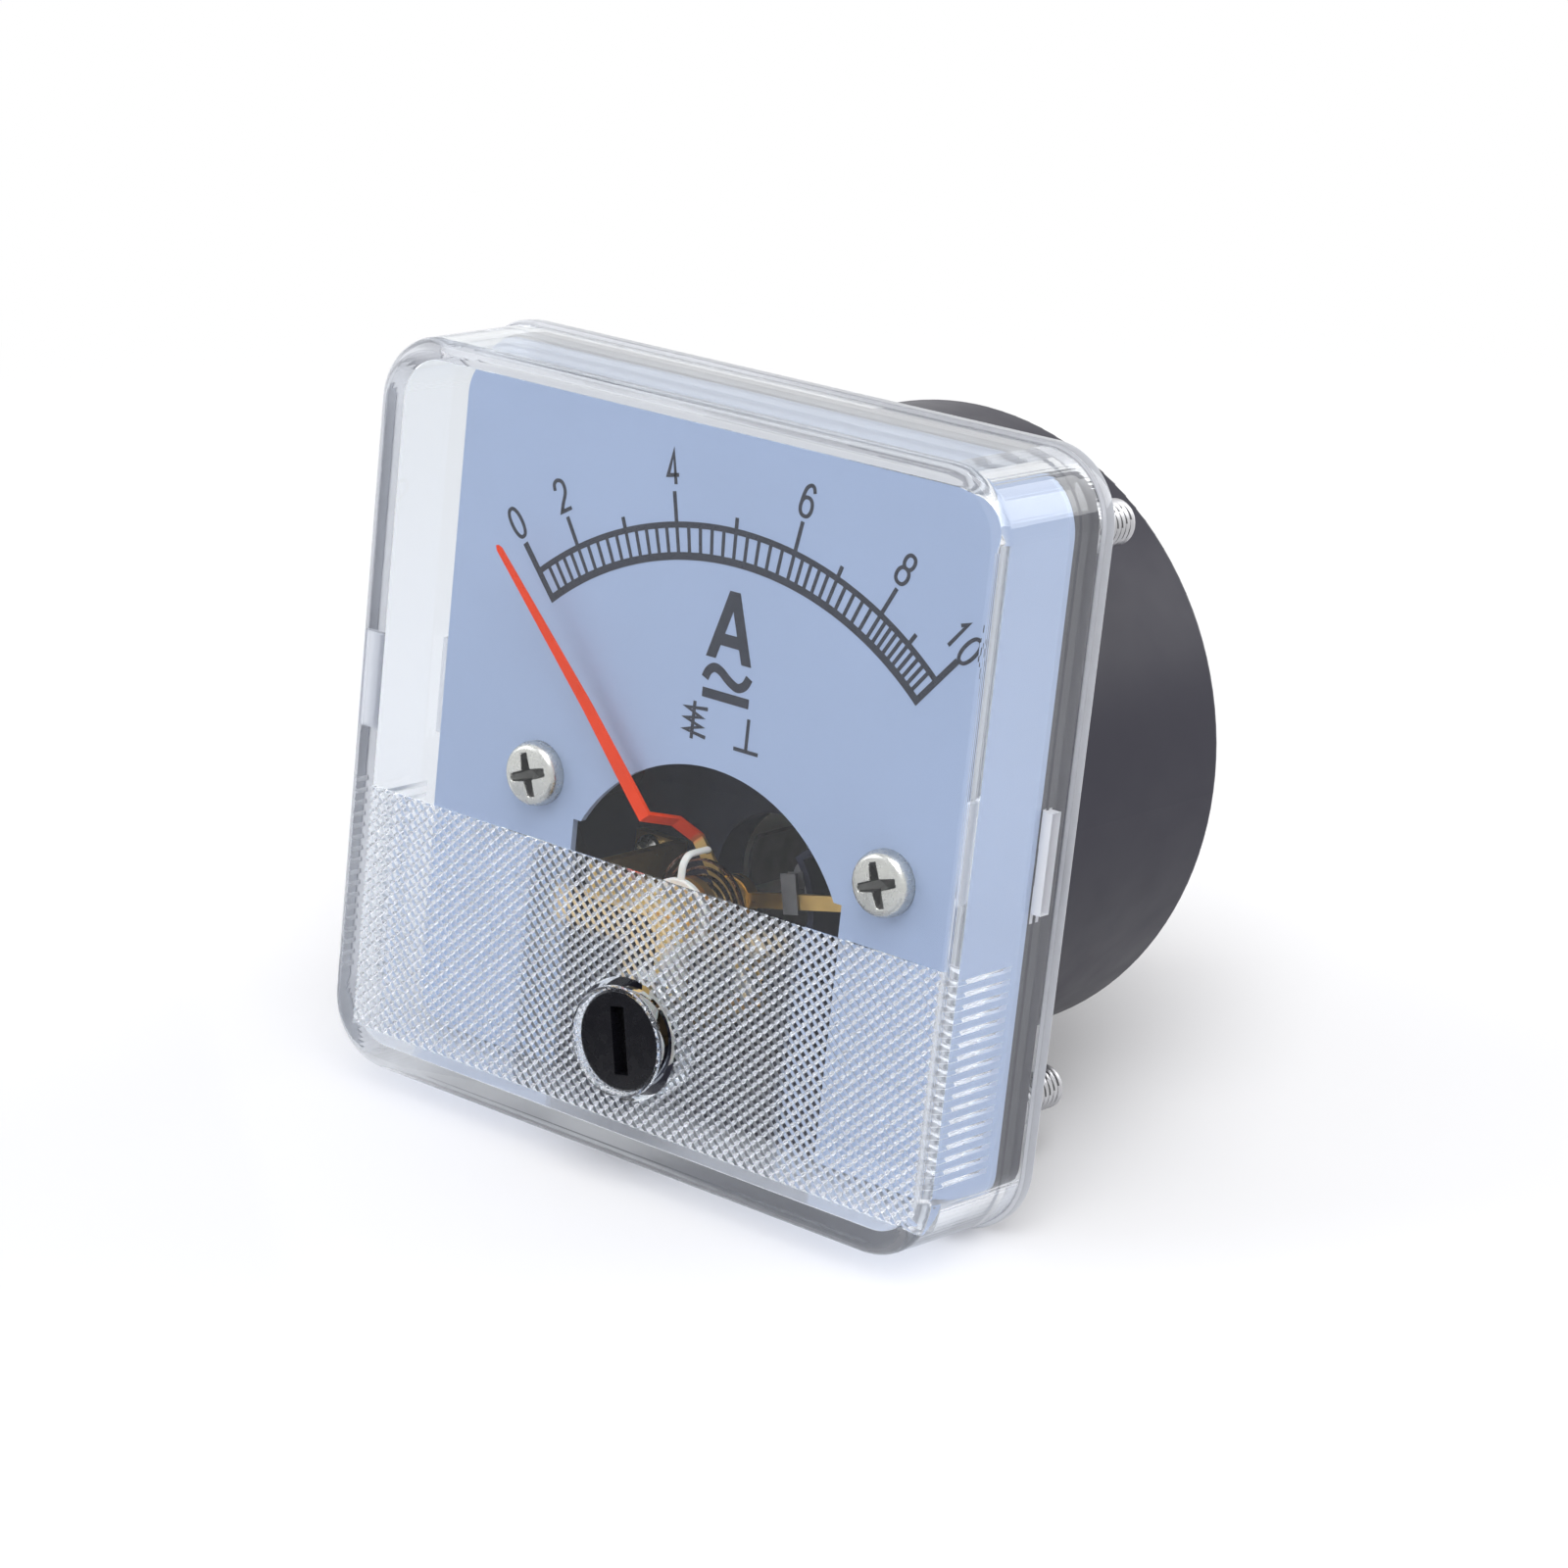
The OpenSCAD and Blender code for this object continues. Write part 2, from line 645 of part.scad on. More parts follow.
module coil_winding() {
    lead_y = terminal_head_y - wire_d / 2 + eps;
    lead_z = terminal_z - 1.8;
    color([0.74, 0.42, 0.22]) {
        turned([0, pivot_z]) {
            translate([bobbin_core_r + running, coil_front_y])
                square([outer_layer_r - bobbin_core_r - running, coil_rear_y - coil_front_y]);
            for (i = [0 : turns_per_layer - 1])
                translate([outer_layer_r, coil_front_y + (i + 0.5) * turn_pitch])
                    circle(d = wire_d, $fn = 24);
        }
        // Both ends of the wire, led back through the flange and out to the terminals
        for (side = [-1, 1]) {
            exit = lead_exit(side);
            wire([[exit.x, coil_rear_y - 1, exit.y], [exit.x, lead_y, exit.y],
                  [side * terminal_x, lead_y, lead_z]], wire_d);
        }
    }
}

module fixed_vane() {
    color([0.5, 0.5, 0.5]) about_pivot(fixed_vane_angle - 40) turned([0, 0], -80)
        translate([fixed_vane_r, vane_front_y]) square([iron_t, vane_length]);
}

// ---- Moving system ----

module pivot_staff() {
    r = staff_d / 2;
    pin_r = pivot_pin_d / 2;
    color([0.7, 0.71, 0.73]) turned([0, pivot_z]) polygon([
        [0, staff_front_y - pin_length], [pin_r - 0.08, staff_front_y - pin_length],
        [pin_r, staff_front_y - pin_length + 0.1], [pin_r, staff_front_y],
        [r, staff_front_y], [r, staff_rear_y], [pin_r, staff_rear_y],
        [pin_r, staff_rear_y + pin_length - 0.1], [pin_r - 0.08, staff_rear_y + pin_length],
        [0, staff_rear_y + pin_length]]);
}

module moving_vane() {
    carrier_y = vane_front_y + 0.3;
    carrier_t = 0.4;
    color([0.55, 0.55, 0.54]) about_pivot(moving_vane_angle) difference() {
        union() {
            rotate([0, -30, 0]) turned([0, 0], -60)
                translate([moving_vane_r, vane_front_y]) square([iron_t, vane_length]);
            bar([0, 0], carrier_y, carrier_y + carrier_t, 1.2);
            arm(0.6, moving_vane_r + iron_t / 2, vane_carrier_w, carrier_y, carrier_t);
        }
        bar([0, 0], carrier_y - 1, carrier_y + 2, staff_d / 2);
    }
}

// The pointer: a ring on the staff, a sloping root, an elbow, and a blade that tapers to the tip
module pointer() {
    blade_lift = dial_front_y - 0.9;
    tip_lift = blade_lift - 1.4;
    path = [[0.6, pointer_root_y], [short_arm_r, pointer_root_y], [elbow_r - 0.8, -1.3],
            [elbow_r, blade_lift], [pointer_bend_r, blade_lift - 0.3],
            [pointer_length + 1, tip_lift]];
    half = pointer_width / 2;
    tip_half = pointer_tip_w / 2;
    color([0.91, 0.31, 0.12]) about_pivot(pointer_rest) {
        intersection() {
            rotate([90, 0, 90]) translate([0, 0, -3]) linear_extrude(6)
                polygon([for (p = bent_sheet(path, pointer_sheet)) [p.y, p.x]]);
            sheet(tip_lift - 2, 8 - tip_lift) polygon([[-half, 0.9], [-half, elbow_r + 2],
                [-tip_half, pointer_length - 0.3], [0, pointer_length],
                [tip_half, pointer_length - 0.3], [half, elbow_r + 2], [half, 0.9]]);
        }
        difference() {
            bar([0, 0], pointer_root_y - pointer_sheet / 2, pointer_root_y + pointer_sheet / 2,
                pointer_ring_r);
            bar([0, 0], pointer_root_y - 1, pointer_root_y + 1, staff_d / 2);
        }
    }
}

module balance_arms() {
    color([0.8, 0.66, 0.4]) difference() {
        union() {
            bar([0, pivot_z], arms_front_y, arms_front_y + 2 * arms_sheet, hub_r);
            about_pivot(vane_arm_angle)
                arm(0, vane_arm_length, vane_arm_w, arms_front_y, arms_sheet);
            for (angle = [tail_angle, side_arm_angle])
                about_pivot(angle) arm(0, short_arm_r, short_arm_w, arms_front_y, arms_sheet);
        }
        bar([0, pivot_z], arms_front_y - 1, arms_front_y + 3, staff_d / 2);
    }
}

// A folded clip that slides along the vane arm to trim the balance
module balance_clip() {
    fold = 0.2;
    half = vane_arm_w / 2;
    color([0.5, 0.49, 0.47]) about_pivot(vane_arm_angle)
        translate([0, 0, short_arm_r - 0.1]) difference() {
            translate([-half - 1.4, arms_front_y - fold, 0])
                cube([2 * half + 1.7, arms_sheet + 2 * fold, 1.2]);
            translate([-half - eps, arms_front_y - running, -1])
                cube([2 * (half + eps), arms_sheet + 2 * running, 3]);
            translate([-half - 2.4, arms_front_y + fold / 2, -1])
                cube([2.1, arms_sheet, 3]);
        }
}

// A small sleeve of wire turns round a balance arm
module balance_weight(angle) {
    bore = norm([short_arm_w, arms_sheet]) / 2 + running;
    color([0.6, 0.6, 0.58]) about_pivot(angle)
        translate([0, arms_mid_y, short_arm_r - 0.2 - weight_length])
            rotate_extrude($fn = 32) difference() {
                union() {
                    translate([bore, 0]) square([0.25, weight_length]);
                    for (z = [0.15 : 0.3 : weight_length - 0.1])
                        translate([bore + 0.22, z]) circle(r = 0.15, $fn = 16);
                }
                translate([bore - 1, -1]) square([1, weight_length + 2]);
            }
}

module damper_vane() {
    vane_y = arms_front_y + arms_sheet;
    color([0.78, 0.79, 0.8]) about_pivot(vane_arm_angle)
        translate([-vane_t / 2, vane_y, vane_in])
            cube([vane_t, frame_front_y - 0.5 - vane_y, vane_out - vane_in]);
}

module hairspring() {
    half = spring_strip / 2;
    inner_r = collet_r + 0.07 + half;
    steps = 20 * hairspring_turns;
    function on_spiral(i, side) =
        let (a = 360 * hairspring_turns * i / steps,
             r = inner_r + (spring_outer_r - half - inner_r) * i / steps + side * half)
        [r * sin(a), r * cos(a)];
    color([0.55, 0.4, 0.3]) sheet(spring_y, spring_height) translate([0, pivot_z])
        polygon(concat([for (i = [0 : steps]) on_spiral(i, 1)],
                       [for (i = [steps : -1 : 0]) on_spiral(i, -1)]));
}

module hairspring_collet() {
    color([0.8, 0.66, 0.4]) difference() {
        bar([0, pivot_z], collet_y, collet_y + collet_length, collet_r);
        bar([0, pivot_z], collet_y - 1, collet_y + 2, staff_d / 2);
    }
}

// The zero lever: turns on the front bearing screw, forked over the crank pin,
// and carries the hairspring's outer end on a bent tab
module zero_lever() {
    fork_r = crank_throw + crank_pin_d / 2;
    color([0.93, 0.92, 0.88]) difference() {
        union() {
            sheet(lever_front_y, lever_thickness) {
                translate([0, pivot_z]) circle(r = lever_ring_r);
                translate([-lever_tab_w / 2, pivot_z]) square([lever_tab_w, lever_rise]);
                translate([-lever_arm_w / 2, adjuster_z]) square([lever_arm_w, lever_drop]);
                translate([0, adjuster_z - crank_throw + fork_rise]) circle(r = fork_r);
            }
            translate([-lever_tab_w / 2, lever_front_y, pivot_z + spring_outer_r])
                cube([lever_tab_w, spring_y + spring_height - lever_front_y, lever_tab_t]);
        }
        bar([0, pivot_z], lever_front_y - 1, lever_back_y + 1, jewel_r + running);
        translate([-(crank_pin_d / 2 + fork_play), lever_front_y - 1,
                   adjuster_z - crank_throw - fork_r - 1])
            cube([crank_pin_d + 2 * fork_play, lever_thickness + 2, 2 * (fork_r + fork_rise)]);
    }
}

// ---- Terminals and panel studs ----

module terminal_stud(side) {
    at = [side * terminal_x, terminal_z];
    r = terminal_d / 2;
    color([0.79, 0.66, 0.42]) {
        hex_bar(at, terminal_head_y, floor_y, nut_flats);
        turned(at) polygon([[0, floor_y - eps], [r, floor_y - eps], [r, terminal_end_y - 0.5],
            [r - 0.5, terminal_end_y], [0, terminal_end_y]]);
    }
}

// Rings or nuts in a row along both terminal studs
module on_terminals() {
    for (side = [-1, 1]) translate([side * terminal_x, 0, terminal_z]) children();
}

module washer(y, outer_r, t) {
    difference() {
        bar([0, 0], y, y + t, outer_r);
        bar([0, 0], y - 1, y + t + 1, terminal_d / 2 + seat);
    }
}

module terminal_washers() {
    color([0.8, 0.8, 0.79]) on_terminals() {
        washer(rear_face_y, washer_r, washer_t);
        washer(rear_face_y + washer_t + nut_t, washer_r, washer_t);
    }
}

module terminal_spring_washers() {
    color([0.62, 0.62, 0.62]) on_terminals() difference() {
        washer(rear_face_y + 2 * washer_t + nut_t, spring_washer_r, spring_washer_t);
        translate([0, rear_face_y + 2 * washer_t + nut_t - 1, -0.25]) cube([5, 4, 0.5]);
    }
}

module terminal_nuts() {
    color([0.8, 0.8, 0.79]) on_terminals()
        for (y = [rear_face_y + washer_t, rear_face_y + 2 * washer_t + nut_t + spring_washer_t])
            difference() {
                hex_bar([0, 0], y, y + nut_t, nut_flats);
                bar([0, 0], y - 1, y + nut_t + 1, terminal_d / 2 + running);
            }
}

// A stud whose wider head is moulded in flush with the panel seat
module panel_stud(side, up) {
    r = stud_d / 2;
    color([0.82, 0.82, 0.81]) turned([side * stud_half, up * stud_half])
        polygon([[0, stud_seat_y], [stud_head_r, stud_seat_y], [stud_head_r, 0], [r, 0],
            [r, stud_length - stud_chamfer], [r - stud_chamfer, stud_length], [0, stud_length]]);
}

front_cover();
zero_adjuster();
base_housing();
dial_plate();
dial_screw(-1);  // dial_screw_left
dial_screw(1);  // dial_screw_right
movement_frame();
frame_screws();
bearing_bridge();
bridge_screws();
front_jewel_screw();
rear_jewel_screw();
coil_bobbin();
coil_winding();
fixed_vane();
moving_vane();
pivot_staff();
pointer();
balance_arms();
balance_clip();
balance_weight(tail_angle);  // tail_weight
balance_weight(side_arm_angle);  // side_weight
damper_vane();
hairspring();
hairspring_collet();
zero_lever();
terminal_stud(-1);  // terminal_stud_left
terminal_stud(1);  // terminal_stud_right
terminal_washers();
terminal_spring_washers();
terminal_nuts();
panel_stud(-1, 1);  // panel_stud_upper_left
panel_stud(1, 1);  // panel_stud_upper_right
panel_stud(-1, -1);  // panel_stud_lower_left
panel_stud(1, -1);  // panel_stud_lower_right
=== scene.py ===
"""Analog panel meter: the detailed pieces and finishes over the CAD frame, and the studio.

Lengths are metres inside Blender and are written here in millimetres times MM.
"""
import math

import bmesh
import bpy
import numpy as np
from bpy.props import FloatProperty, FloatVectorProperty, IntProperty, PointerProperty
from mathutils import Matrix, Vector


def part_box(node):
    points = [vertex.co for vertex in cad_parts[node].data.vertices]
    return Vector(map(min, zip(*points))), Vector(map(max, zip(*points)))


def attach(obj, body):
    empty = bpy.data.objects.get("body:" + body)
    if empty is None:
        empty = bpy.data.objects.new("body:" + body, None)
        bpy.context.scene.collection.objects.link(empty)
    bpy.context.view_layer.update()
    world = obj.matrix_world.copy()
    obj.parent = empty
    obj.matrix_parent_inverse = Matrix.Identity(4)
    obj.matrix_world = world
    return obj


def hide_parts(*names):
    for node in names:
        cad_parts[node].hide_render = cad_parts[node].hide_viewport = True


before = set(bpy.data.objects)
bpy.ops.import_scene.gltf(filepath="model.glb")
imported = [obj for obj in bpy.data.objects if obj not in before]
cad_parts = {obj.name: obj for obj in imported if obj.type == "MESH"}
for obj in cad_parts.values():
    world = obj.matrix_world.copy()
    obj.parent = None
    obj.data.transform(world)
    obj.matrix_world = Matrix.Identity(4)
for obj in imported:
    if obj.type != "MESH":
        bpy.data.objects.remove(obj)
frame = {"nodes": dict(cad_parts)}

bl_info = {
    "name": "Analog Panel Meter",
    "version": (1, 0, 0),
    "blender": (4, 5, 0),
    "location": "3D View > Sidebar > Meter",
    "description": "Builds a moving-iron panel meter over its CAD frame",
    "category": "Add Mesh",
}

MM = 0.001
# By how much a cutter runs past what it cuts
PAST = 1 * MM


def linear(code):
    """sRGB hex code to the linear RGBA that Blender's sockets take."""
    c = np.array([int(code[i : i + 2], 16) for i in (1, 3, 5)]) / 255
    c = np.where(c <= 0.04045, c / 12.92, ((c + 0.055) / 1.055) ** 2.4)
    return (*c.tolist(), 1.0)


def length(name, default_mm, description, low=0.0):
    """A length property, given in millimetres."""
    return FloatProperty(name=name, description=description, default=default_mm * MM, min=low,
                         precision=5, subtype="DISTANCE", unit="LENGTH")


def position(name, default_mm, description):
    """A coordinate property, given in millimetres, that may be negative."""
    return length(name, default_mm, description, -1.0)


def angle(name, default_deg, description):
    """An angle property, given in degrees."""
    return FloatProperty(name=name, description=description, default=math.radians(default_deg),
                         subtype="ANGLE", unit="ROTATION")


def colour(name, code, description):
    """A colour property, given as an sRGB hex code."""
    return FloatVectorProperty(name=name, description=description, default=linear(code), size=4,
                               min=0, max=1, subtype="COLOR")


class MeterSizes(bpy.types.PropertyGroup):
    """Sizes of the pieces that this script makes."""

    # Clear cover
    cover_corner: length("Cover corner", 4.6, "Corner radius of the cover's side walls")
    cover_edge: length("Front edge", 0.9, "Rounding round the front face")
    front_wall: length("Front wall", 1.7, "Thickness of the clear front wall")
    side_wall: length("Side wall", 1.6, "Thickness of the side walls at the rim")
    side_draft: length("Side draft", 0.25, "How much each side narrows to the front")
    rim_proud: length("Rim proud", 0.25, "How far the rear rim stands out")
    rim_length: length("Rim length", 1.0, "Length of the rear rim")
    face_depth: length("Face depth", 11.1, "How far the face lies before the panel")
    ridge_pitch: length("Ridge pitch", 0.587, "Distance between crossed ridges")
    ridge_width: length("Ridge width", 0.3, "Width of a ridge at its foot")
    ridge_height: length("Ridge height", 0.18, "Height of a ridge")
    ridge_sink: length("Ridge sink", 0.3, "How deep the ridged field is sunk")
    ridge_field: length("Ridge field", 16.8, "Height of the ridged field")
    rib_pitch: length("Rib pitch", 0.83, "Distance between the side walls' ribs")
    rib_width: length("Rib width", 0.36, "Width of a rib at its foot")
    rib_depth: length("Rib depth", 0.2, "How far a rib stands out of its side wall")
    sleeve_radius: length("Sleeve radius", 4.1, "Outer radius of the adjuster's sleeve")
    ring_radius: length("Ring radius", 3.7, "Outer radius of the raised ring")
    seat_radius: length("Seat radius", 3.4, "Radius of the seat of the adjuster's head")
    shaft_radius: length("Shaft radius", 1.75, "Radius of the bore of the sleeve")
    window_width: length("Latch width", 0.9, "Width of a latch window")
    window_length: length("Latch length", 6.6, "Length of a latch window")
    latch_depth: position("Latch depth", -2.1, "Place of the latch windows along the axis")
    # Dial and its print
    dial_top: length("Dial top", 23.4, "Height of the dial's upper edge")
    dial_corner: length("Dial corner", 3.0, "Corner radius of the dial")
    arch_radius: length("Arch radius", 12.1, "Radius of the arch over the movement")
    arch_drop: length("Arch drop", 12.0, "How far the arch's centre lies below the axis")
    step_drop: length("Step drop", 6.1, "How far the arch's steps lie below the axis")
    window_half: length("Window half", 11.2, "Half the width of the dial's lower window")
    ink: length("Ink", 0.02, "Thickness of the printed ink")
    outer_arc: length("Outer arc", 24.9, "Radius of the scale's outer arc")
    inner_arc: length("Inner arc", 22.88, "Radius of the scale's inner arc")
    print_across: position("Print across", 0.2, "How far the print lies off the axis to the right")
    print_up: position("Print up", 0.18, "How far the print lies off the axis upwards")
    outer_line: length("Outer line", 0.4, "Width of the outer arc's line")
    inner_line: length("Inner line", 0.5, "Width of the inner arc's line")
    tick_line: length("Tick line", 0.28, "Width of the ticks")
    end_line: length("End line", 0.42, "Width of the first and the last tick")
    long_tick: length("Long tick", 1.95, "Length of a numbered tick beyond the arc")
    half_tick: length("Half tick", 0.7, "Length of a half tick beyond the arc")
    number_height: length("Number height", 2.3, "Height of the numbers")
    number_width: length("Number width", 1.15, "Width of a digit")
    number_line: length("Number line", 0.25, "Stroke of the numbers")
    # Screws, studs, spring and lever
    head_height: length("Head height", 1.3, "Height of the dial screws' heads")
    recess_depth: length("Recess depth", 0.95, "Depth of the cross recess")
    panel_pitch: length("Panel thread", 0.5, "Thread pitch of the panel studs")
    terminal_pitch: length("Terminal thread", 0.7, "Thread pitch of the terminals")
    spring_strip: length("Spring strip", 0.12, "Thickness of the hairspring's strip")
    lever_sheet: length("Lever sheet", 0.5, "Thickness of the zero lever")
    lever_ring: length("Lever ring", 2.4, "Outer radius of the zero lever's ring")
    lever_bore: length("Lever bore", 1.25, "Radius of the ring's bore")
    lever_arm: length("Lever arm", 1.6, "Width of the zero lever's lower arm")
    crank_throw: length("Crank throw", 1.2, "Throw of the adjuster's crank pin")
    crank_pin: length("Crank pin", 0.6, "Radius of the crank pin")
    fork_play: length("Fork play", 0.15, "Play between the fork and the pin")
    fork_rise: length("Fork rise", 0.4, "How far the fork's eye lies above the pin")
    spring_turns: IntProperty(name="Spring turns", description="Turns of the hairspring",
                              default=5, min=1)
    # Camera
    lens: FloatProperty(name="Lens", description="Focal length", default=93.43, unit="CAMERA")
    azimuth: angle("Azimuth", 36.113, "Camera's angle to the right of the dial's axis")
    elevation: angle("Elevation", 15.226, "Camera's angle above the dial's axis")
    roll: angle("Roll", 6.118, "Camera's turn about its own axis")
    distance: length("Distance", 265.501, "Camera's distance from its target")
    aim_across: position("Aim across", 2.217, "Target's place across the view")
    aim_up: position("Aim up", -1.418, "Target's place up the view")


class MeterColours(bpy.types.PropertyGroup):
    """Colours of the finishes."""

    dial: colour("Dial", "#A9BAD8", "Pale blue dial paint")
    ink: colour("Ink", "#2B2E3A", "Dark grey screen ink")
    pointer: colour("Pointer", "#F84205", "Signal orange pointer paint")
    housing: colour("Housing", "#2B2A35", "Black moulded housing")
    gloss: colour("Gloss black", "#101015", "Glossy black moulding")
    frame: colour("Frame", "#2A2D42", "Black movement frame")
    nickel: colour("Nickel", "#D5D3CC", "Nickel-plated screws")
    steel: colour("Steel", "#B9B9BC", "Bare steel")
    brass: colour("Brass", "#CBAA6C", "Brass")
    copper: colour("Copper", "#B0532B", "Enamelled copper wire")
    white: colour("White", "#ECEAE2", "White plastic")
    bronze: colour("Bronze", "#5C4238", "Spring bronze")
    floor: colour("Floor", "#F2F2F4", "Pale studio floor")


def colours():
    return bpy.context.scene.meter_colours


# ---- Meshes ----


def strip_faces(rows, columns):
    """Quads between neighbouring rows of a grid whose columns close round."""
    i = np.arange(rows - 1)[:, None] * columns
    j = np.arange(columns)
    k = (j + 1) % columns
    return np.stack([i + j, i + k, i + columns + k, i + columns + j], -1).reshape(-1, 4)


def fan_faces(ring, pole, flip):
    """Triangles from a ring of vertex numbers to a pole."""
    order = [ring, np.roll(ring, -1), np.full_like(ring, pole)]
    return np.stack(order[::-1] if flip else order, -1)


def make_mesh(name, points, *faces):
    """A mesh from an (n, 3) array and arrays or lists of faces."""
    mesh = bpy.data.meshes.new(name)
    parts = (part.tolist() if isinstance(part, np.ndarray) else part for part in faces)
    mesh.from_pydata(np.asarray(points).tolist(), [], [face for part in parts for face in part])
    mesh.update()
    return mesh


def closed_mesh(name, points, *faces):
    """A closed mesh whose faces look outwards."""
    mesh = make_mesh(name, points, *faces)
    bm = bmesh.new()
    bm.from_mesh(mesh)
    bmesh.ops.recalc_face_normals(bm, faces=bm.faces)
    bm.to_mesh(mesh)
    bm.free()
    mesh.update()
    return mesh


def link(obj):
    bpy.context.scene.collection.objects.link(obj)
    return obj


def make_object(name, mesh):
    return link(bpy.data.objects.new(name, mesh))


def read(items, field, width=1, kind=float):
    """One field of a mesh's faces or loops as an array."""
    values = np.empty(len(items) * width, kind)
    items.foreach_get(field, values)
    return values.reshape(-1, width) if width > 1 else values


def soften(mesh, degrees=28, flat_area=2.5):
    """Smooth shading with sharp edges where faces meet above an angle, and round every flat
    field larger than flat_area square millimetres, so that flat fields stay flat to the eye."""
    same_way, same_plane, flat_turn = 1 / 500, 0.004 * MM, math.radians(0.6)
    mesh.shade_smooth()
    normal = read(mesh.polygons, "normal", 3)
    offset = (normal * read(mesh.polygons, "center", 3)).sum(1)
    key = np.column_stack([np.round(normal / same_way), np.round(offset / same_plane)])
    group = np.unique(key, axis=0, return_inverse=True)[1].ravel()
    flat = (np.bincount(group, read(mesh.polygons, "area")) > flat_area * MM * MM)[group]
    edge = read(mesh.loops, "edge_index", kind=int)
    face = np.repeat(np.arange(len(normal)), read(mesh.polygons, "loop_total", kind=int))
    order = np.argsort(edge, kind="stable")
    edge, face = edge[order], face[order]
    pair = np.flatnonzero(edge[:-1] == edge[1:])
    a, b = face[pair], face[pair + 1]
    turn = np.arccos(np.clip((normal[a] * normal[b]).sum(1), -1, 1))
    sharp = np.zeros(len(mesh.edges), bool)
    sharp[edge[pair]] = (turn > math.radians(degrees)) | (
        (flat[a] | flat[b]) & (turn > flat_turn))
    attribute = mesh.attributes.get("sharp_edge") or mesh.attributes.new(
        "sharp_edge", "BOOLEAN", "EDGE")
    attribute.data.foreach_set("value", sharp)
    mesh.update()


def lathe(name, radius, depth, centre, segments, dr=0.0, dy=0.0):
    """A turned piece. Point (i, j) lies at radius[i] + dr[i, j] and depth[i] + dy[i, j] on the
    angle 2*pi*j/segments about the axis along Y through centre = (x, z). A profile that starts
    and ends on the axis gets one vertex at each pole; any other profile closes on itself."""
    theta = np.arange(segments) * 2 * np.pi / segments
    r = np.asarray(radius, float)[:, None] + np.zeros(segments) + dr
    y = np.asarray(depth, float)[:, None] + np.zeros(segments) + dy
    points = np.stack([r * np.cos(theta) + centre[0], y, r * np.sin(theta) + centre[1]], -1)
    rows = len(radius)
    if radius[0] or radius[-1]:
        return closed_mesh(name, points.reshape(-1, 3),
                           strip_faces(rows + 1, segments) % (rows * segments))
    poles = [points[0].mean(0), points[-1].mean(0)]
    count = (rows - 2) * segments
    first = np.arange(segments)
    return closed_mesh(name, np.concatenate([points[1:-1].reshape(-1, 3), poles]),
                       strip_faces(rows - 2, segments), fan_faces(first, count, True),
                       fan_faces(first + count - segments, count + 1, False))


def square_outline(side_samples, corner_samples):
    """Parameters of a rounded square's outline. A point is core * c + normal * r, where c is
    the half width less the corner radius r. side_samples gives, for the right, top, left and
    bottom side, the places along that side from -1 to 1."""
    core, normal = [], []
    phi = np.linspace(0, np.pi / 2, corner_samples, endpoint=False)[1:]
    for k, along in enumerate(side_samples):
        a = k * np.pi / 2
        turn = np.array([[np.cos(a), np.sin(a)], [-np.sin(a), np.cos(a)]])
        core.append(np.stack([np.ones_like(along), along], -1) @ turn)
        normal.append(np.tile([1.0, 0.0], (len(along), 1)) @ turn)
        core.append(np.tile([1.0, 1.0], (len(phi), 1)) @ turn)
        normal.append(np.stack([np.cos(phi), np.sin(phi)], -1) @ turn)
    return np.concatenate(core), np.concatenate(normal)


def loft(name, core, normal, profile, inward):
    """A closed shell. Row i is the rounded square of half width c[i] + r[i] at depth y[i]:
    point = core * c + normal * (r + inward). Both end rows are closed with one flat face."""
    c, r, y = np.asarray(profile).T
    reach = r[:, None] + inward
    xz = core[None] * c[:, None, None] + normal[None] * reach[..., None]
    rows, columns = xz.shape[:2]
    points = np.stack([xz[..., 0], np.broadcast_to(y[:, None], (rows, columns)), xz[..., 1]], -1)
    caps = [list(range(columns)), list(range((rows - 1) * columns, rows * columns))[::-1]]
    return closed_mesh(name, points.reshape(-1, 3), strip_faces(rows, columns), caps)


def combine(base, cutters):
    """base joined with or cut by closed meshes, in order. cutters holds (mesh, operation)."""
    work = make_object("work", base)
    tools = [make_object("tool", mesh) for mesh, _ in cutters]
    for tool, (_, operation) in zip(tools, cutters):
        modifier = work.modifiers.new("Boolean", "BOOLEAN")
        modifier.operation, modifier.solver, modifier.object = operation, "MANIFOLD", tool
    graph = bpy.context.evaluated_depsgraph_get()
    result = bpy.data.meshes.new_from_object(work.evaluated_get(graph))
    for obj in [work, *tools]:
        mesh = obj.data
        bpy.data.objects.remove(obj)
        bpy.data.meshes.remove(mesh)
    if not len(result.polygons):
        raise RuntimeError("a boolean left an empty mesh")
    return result


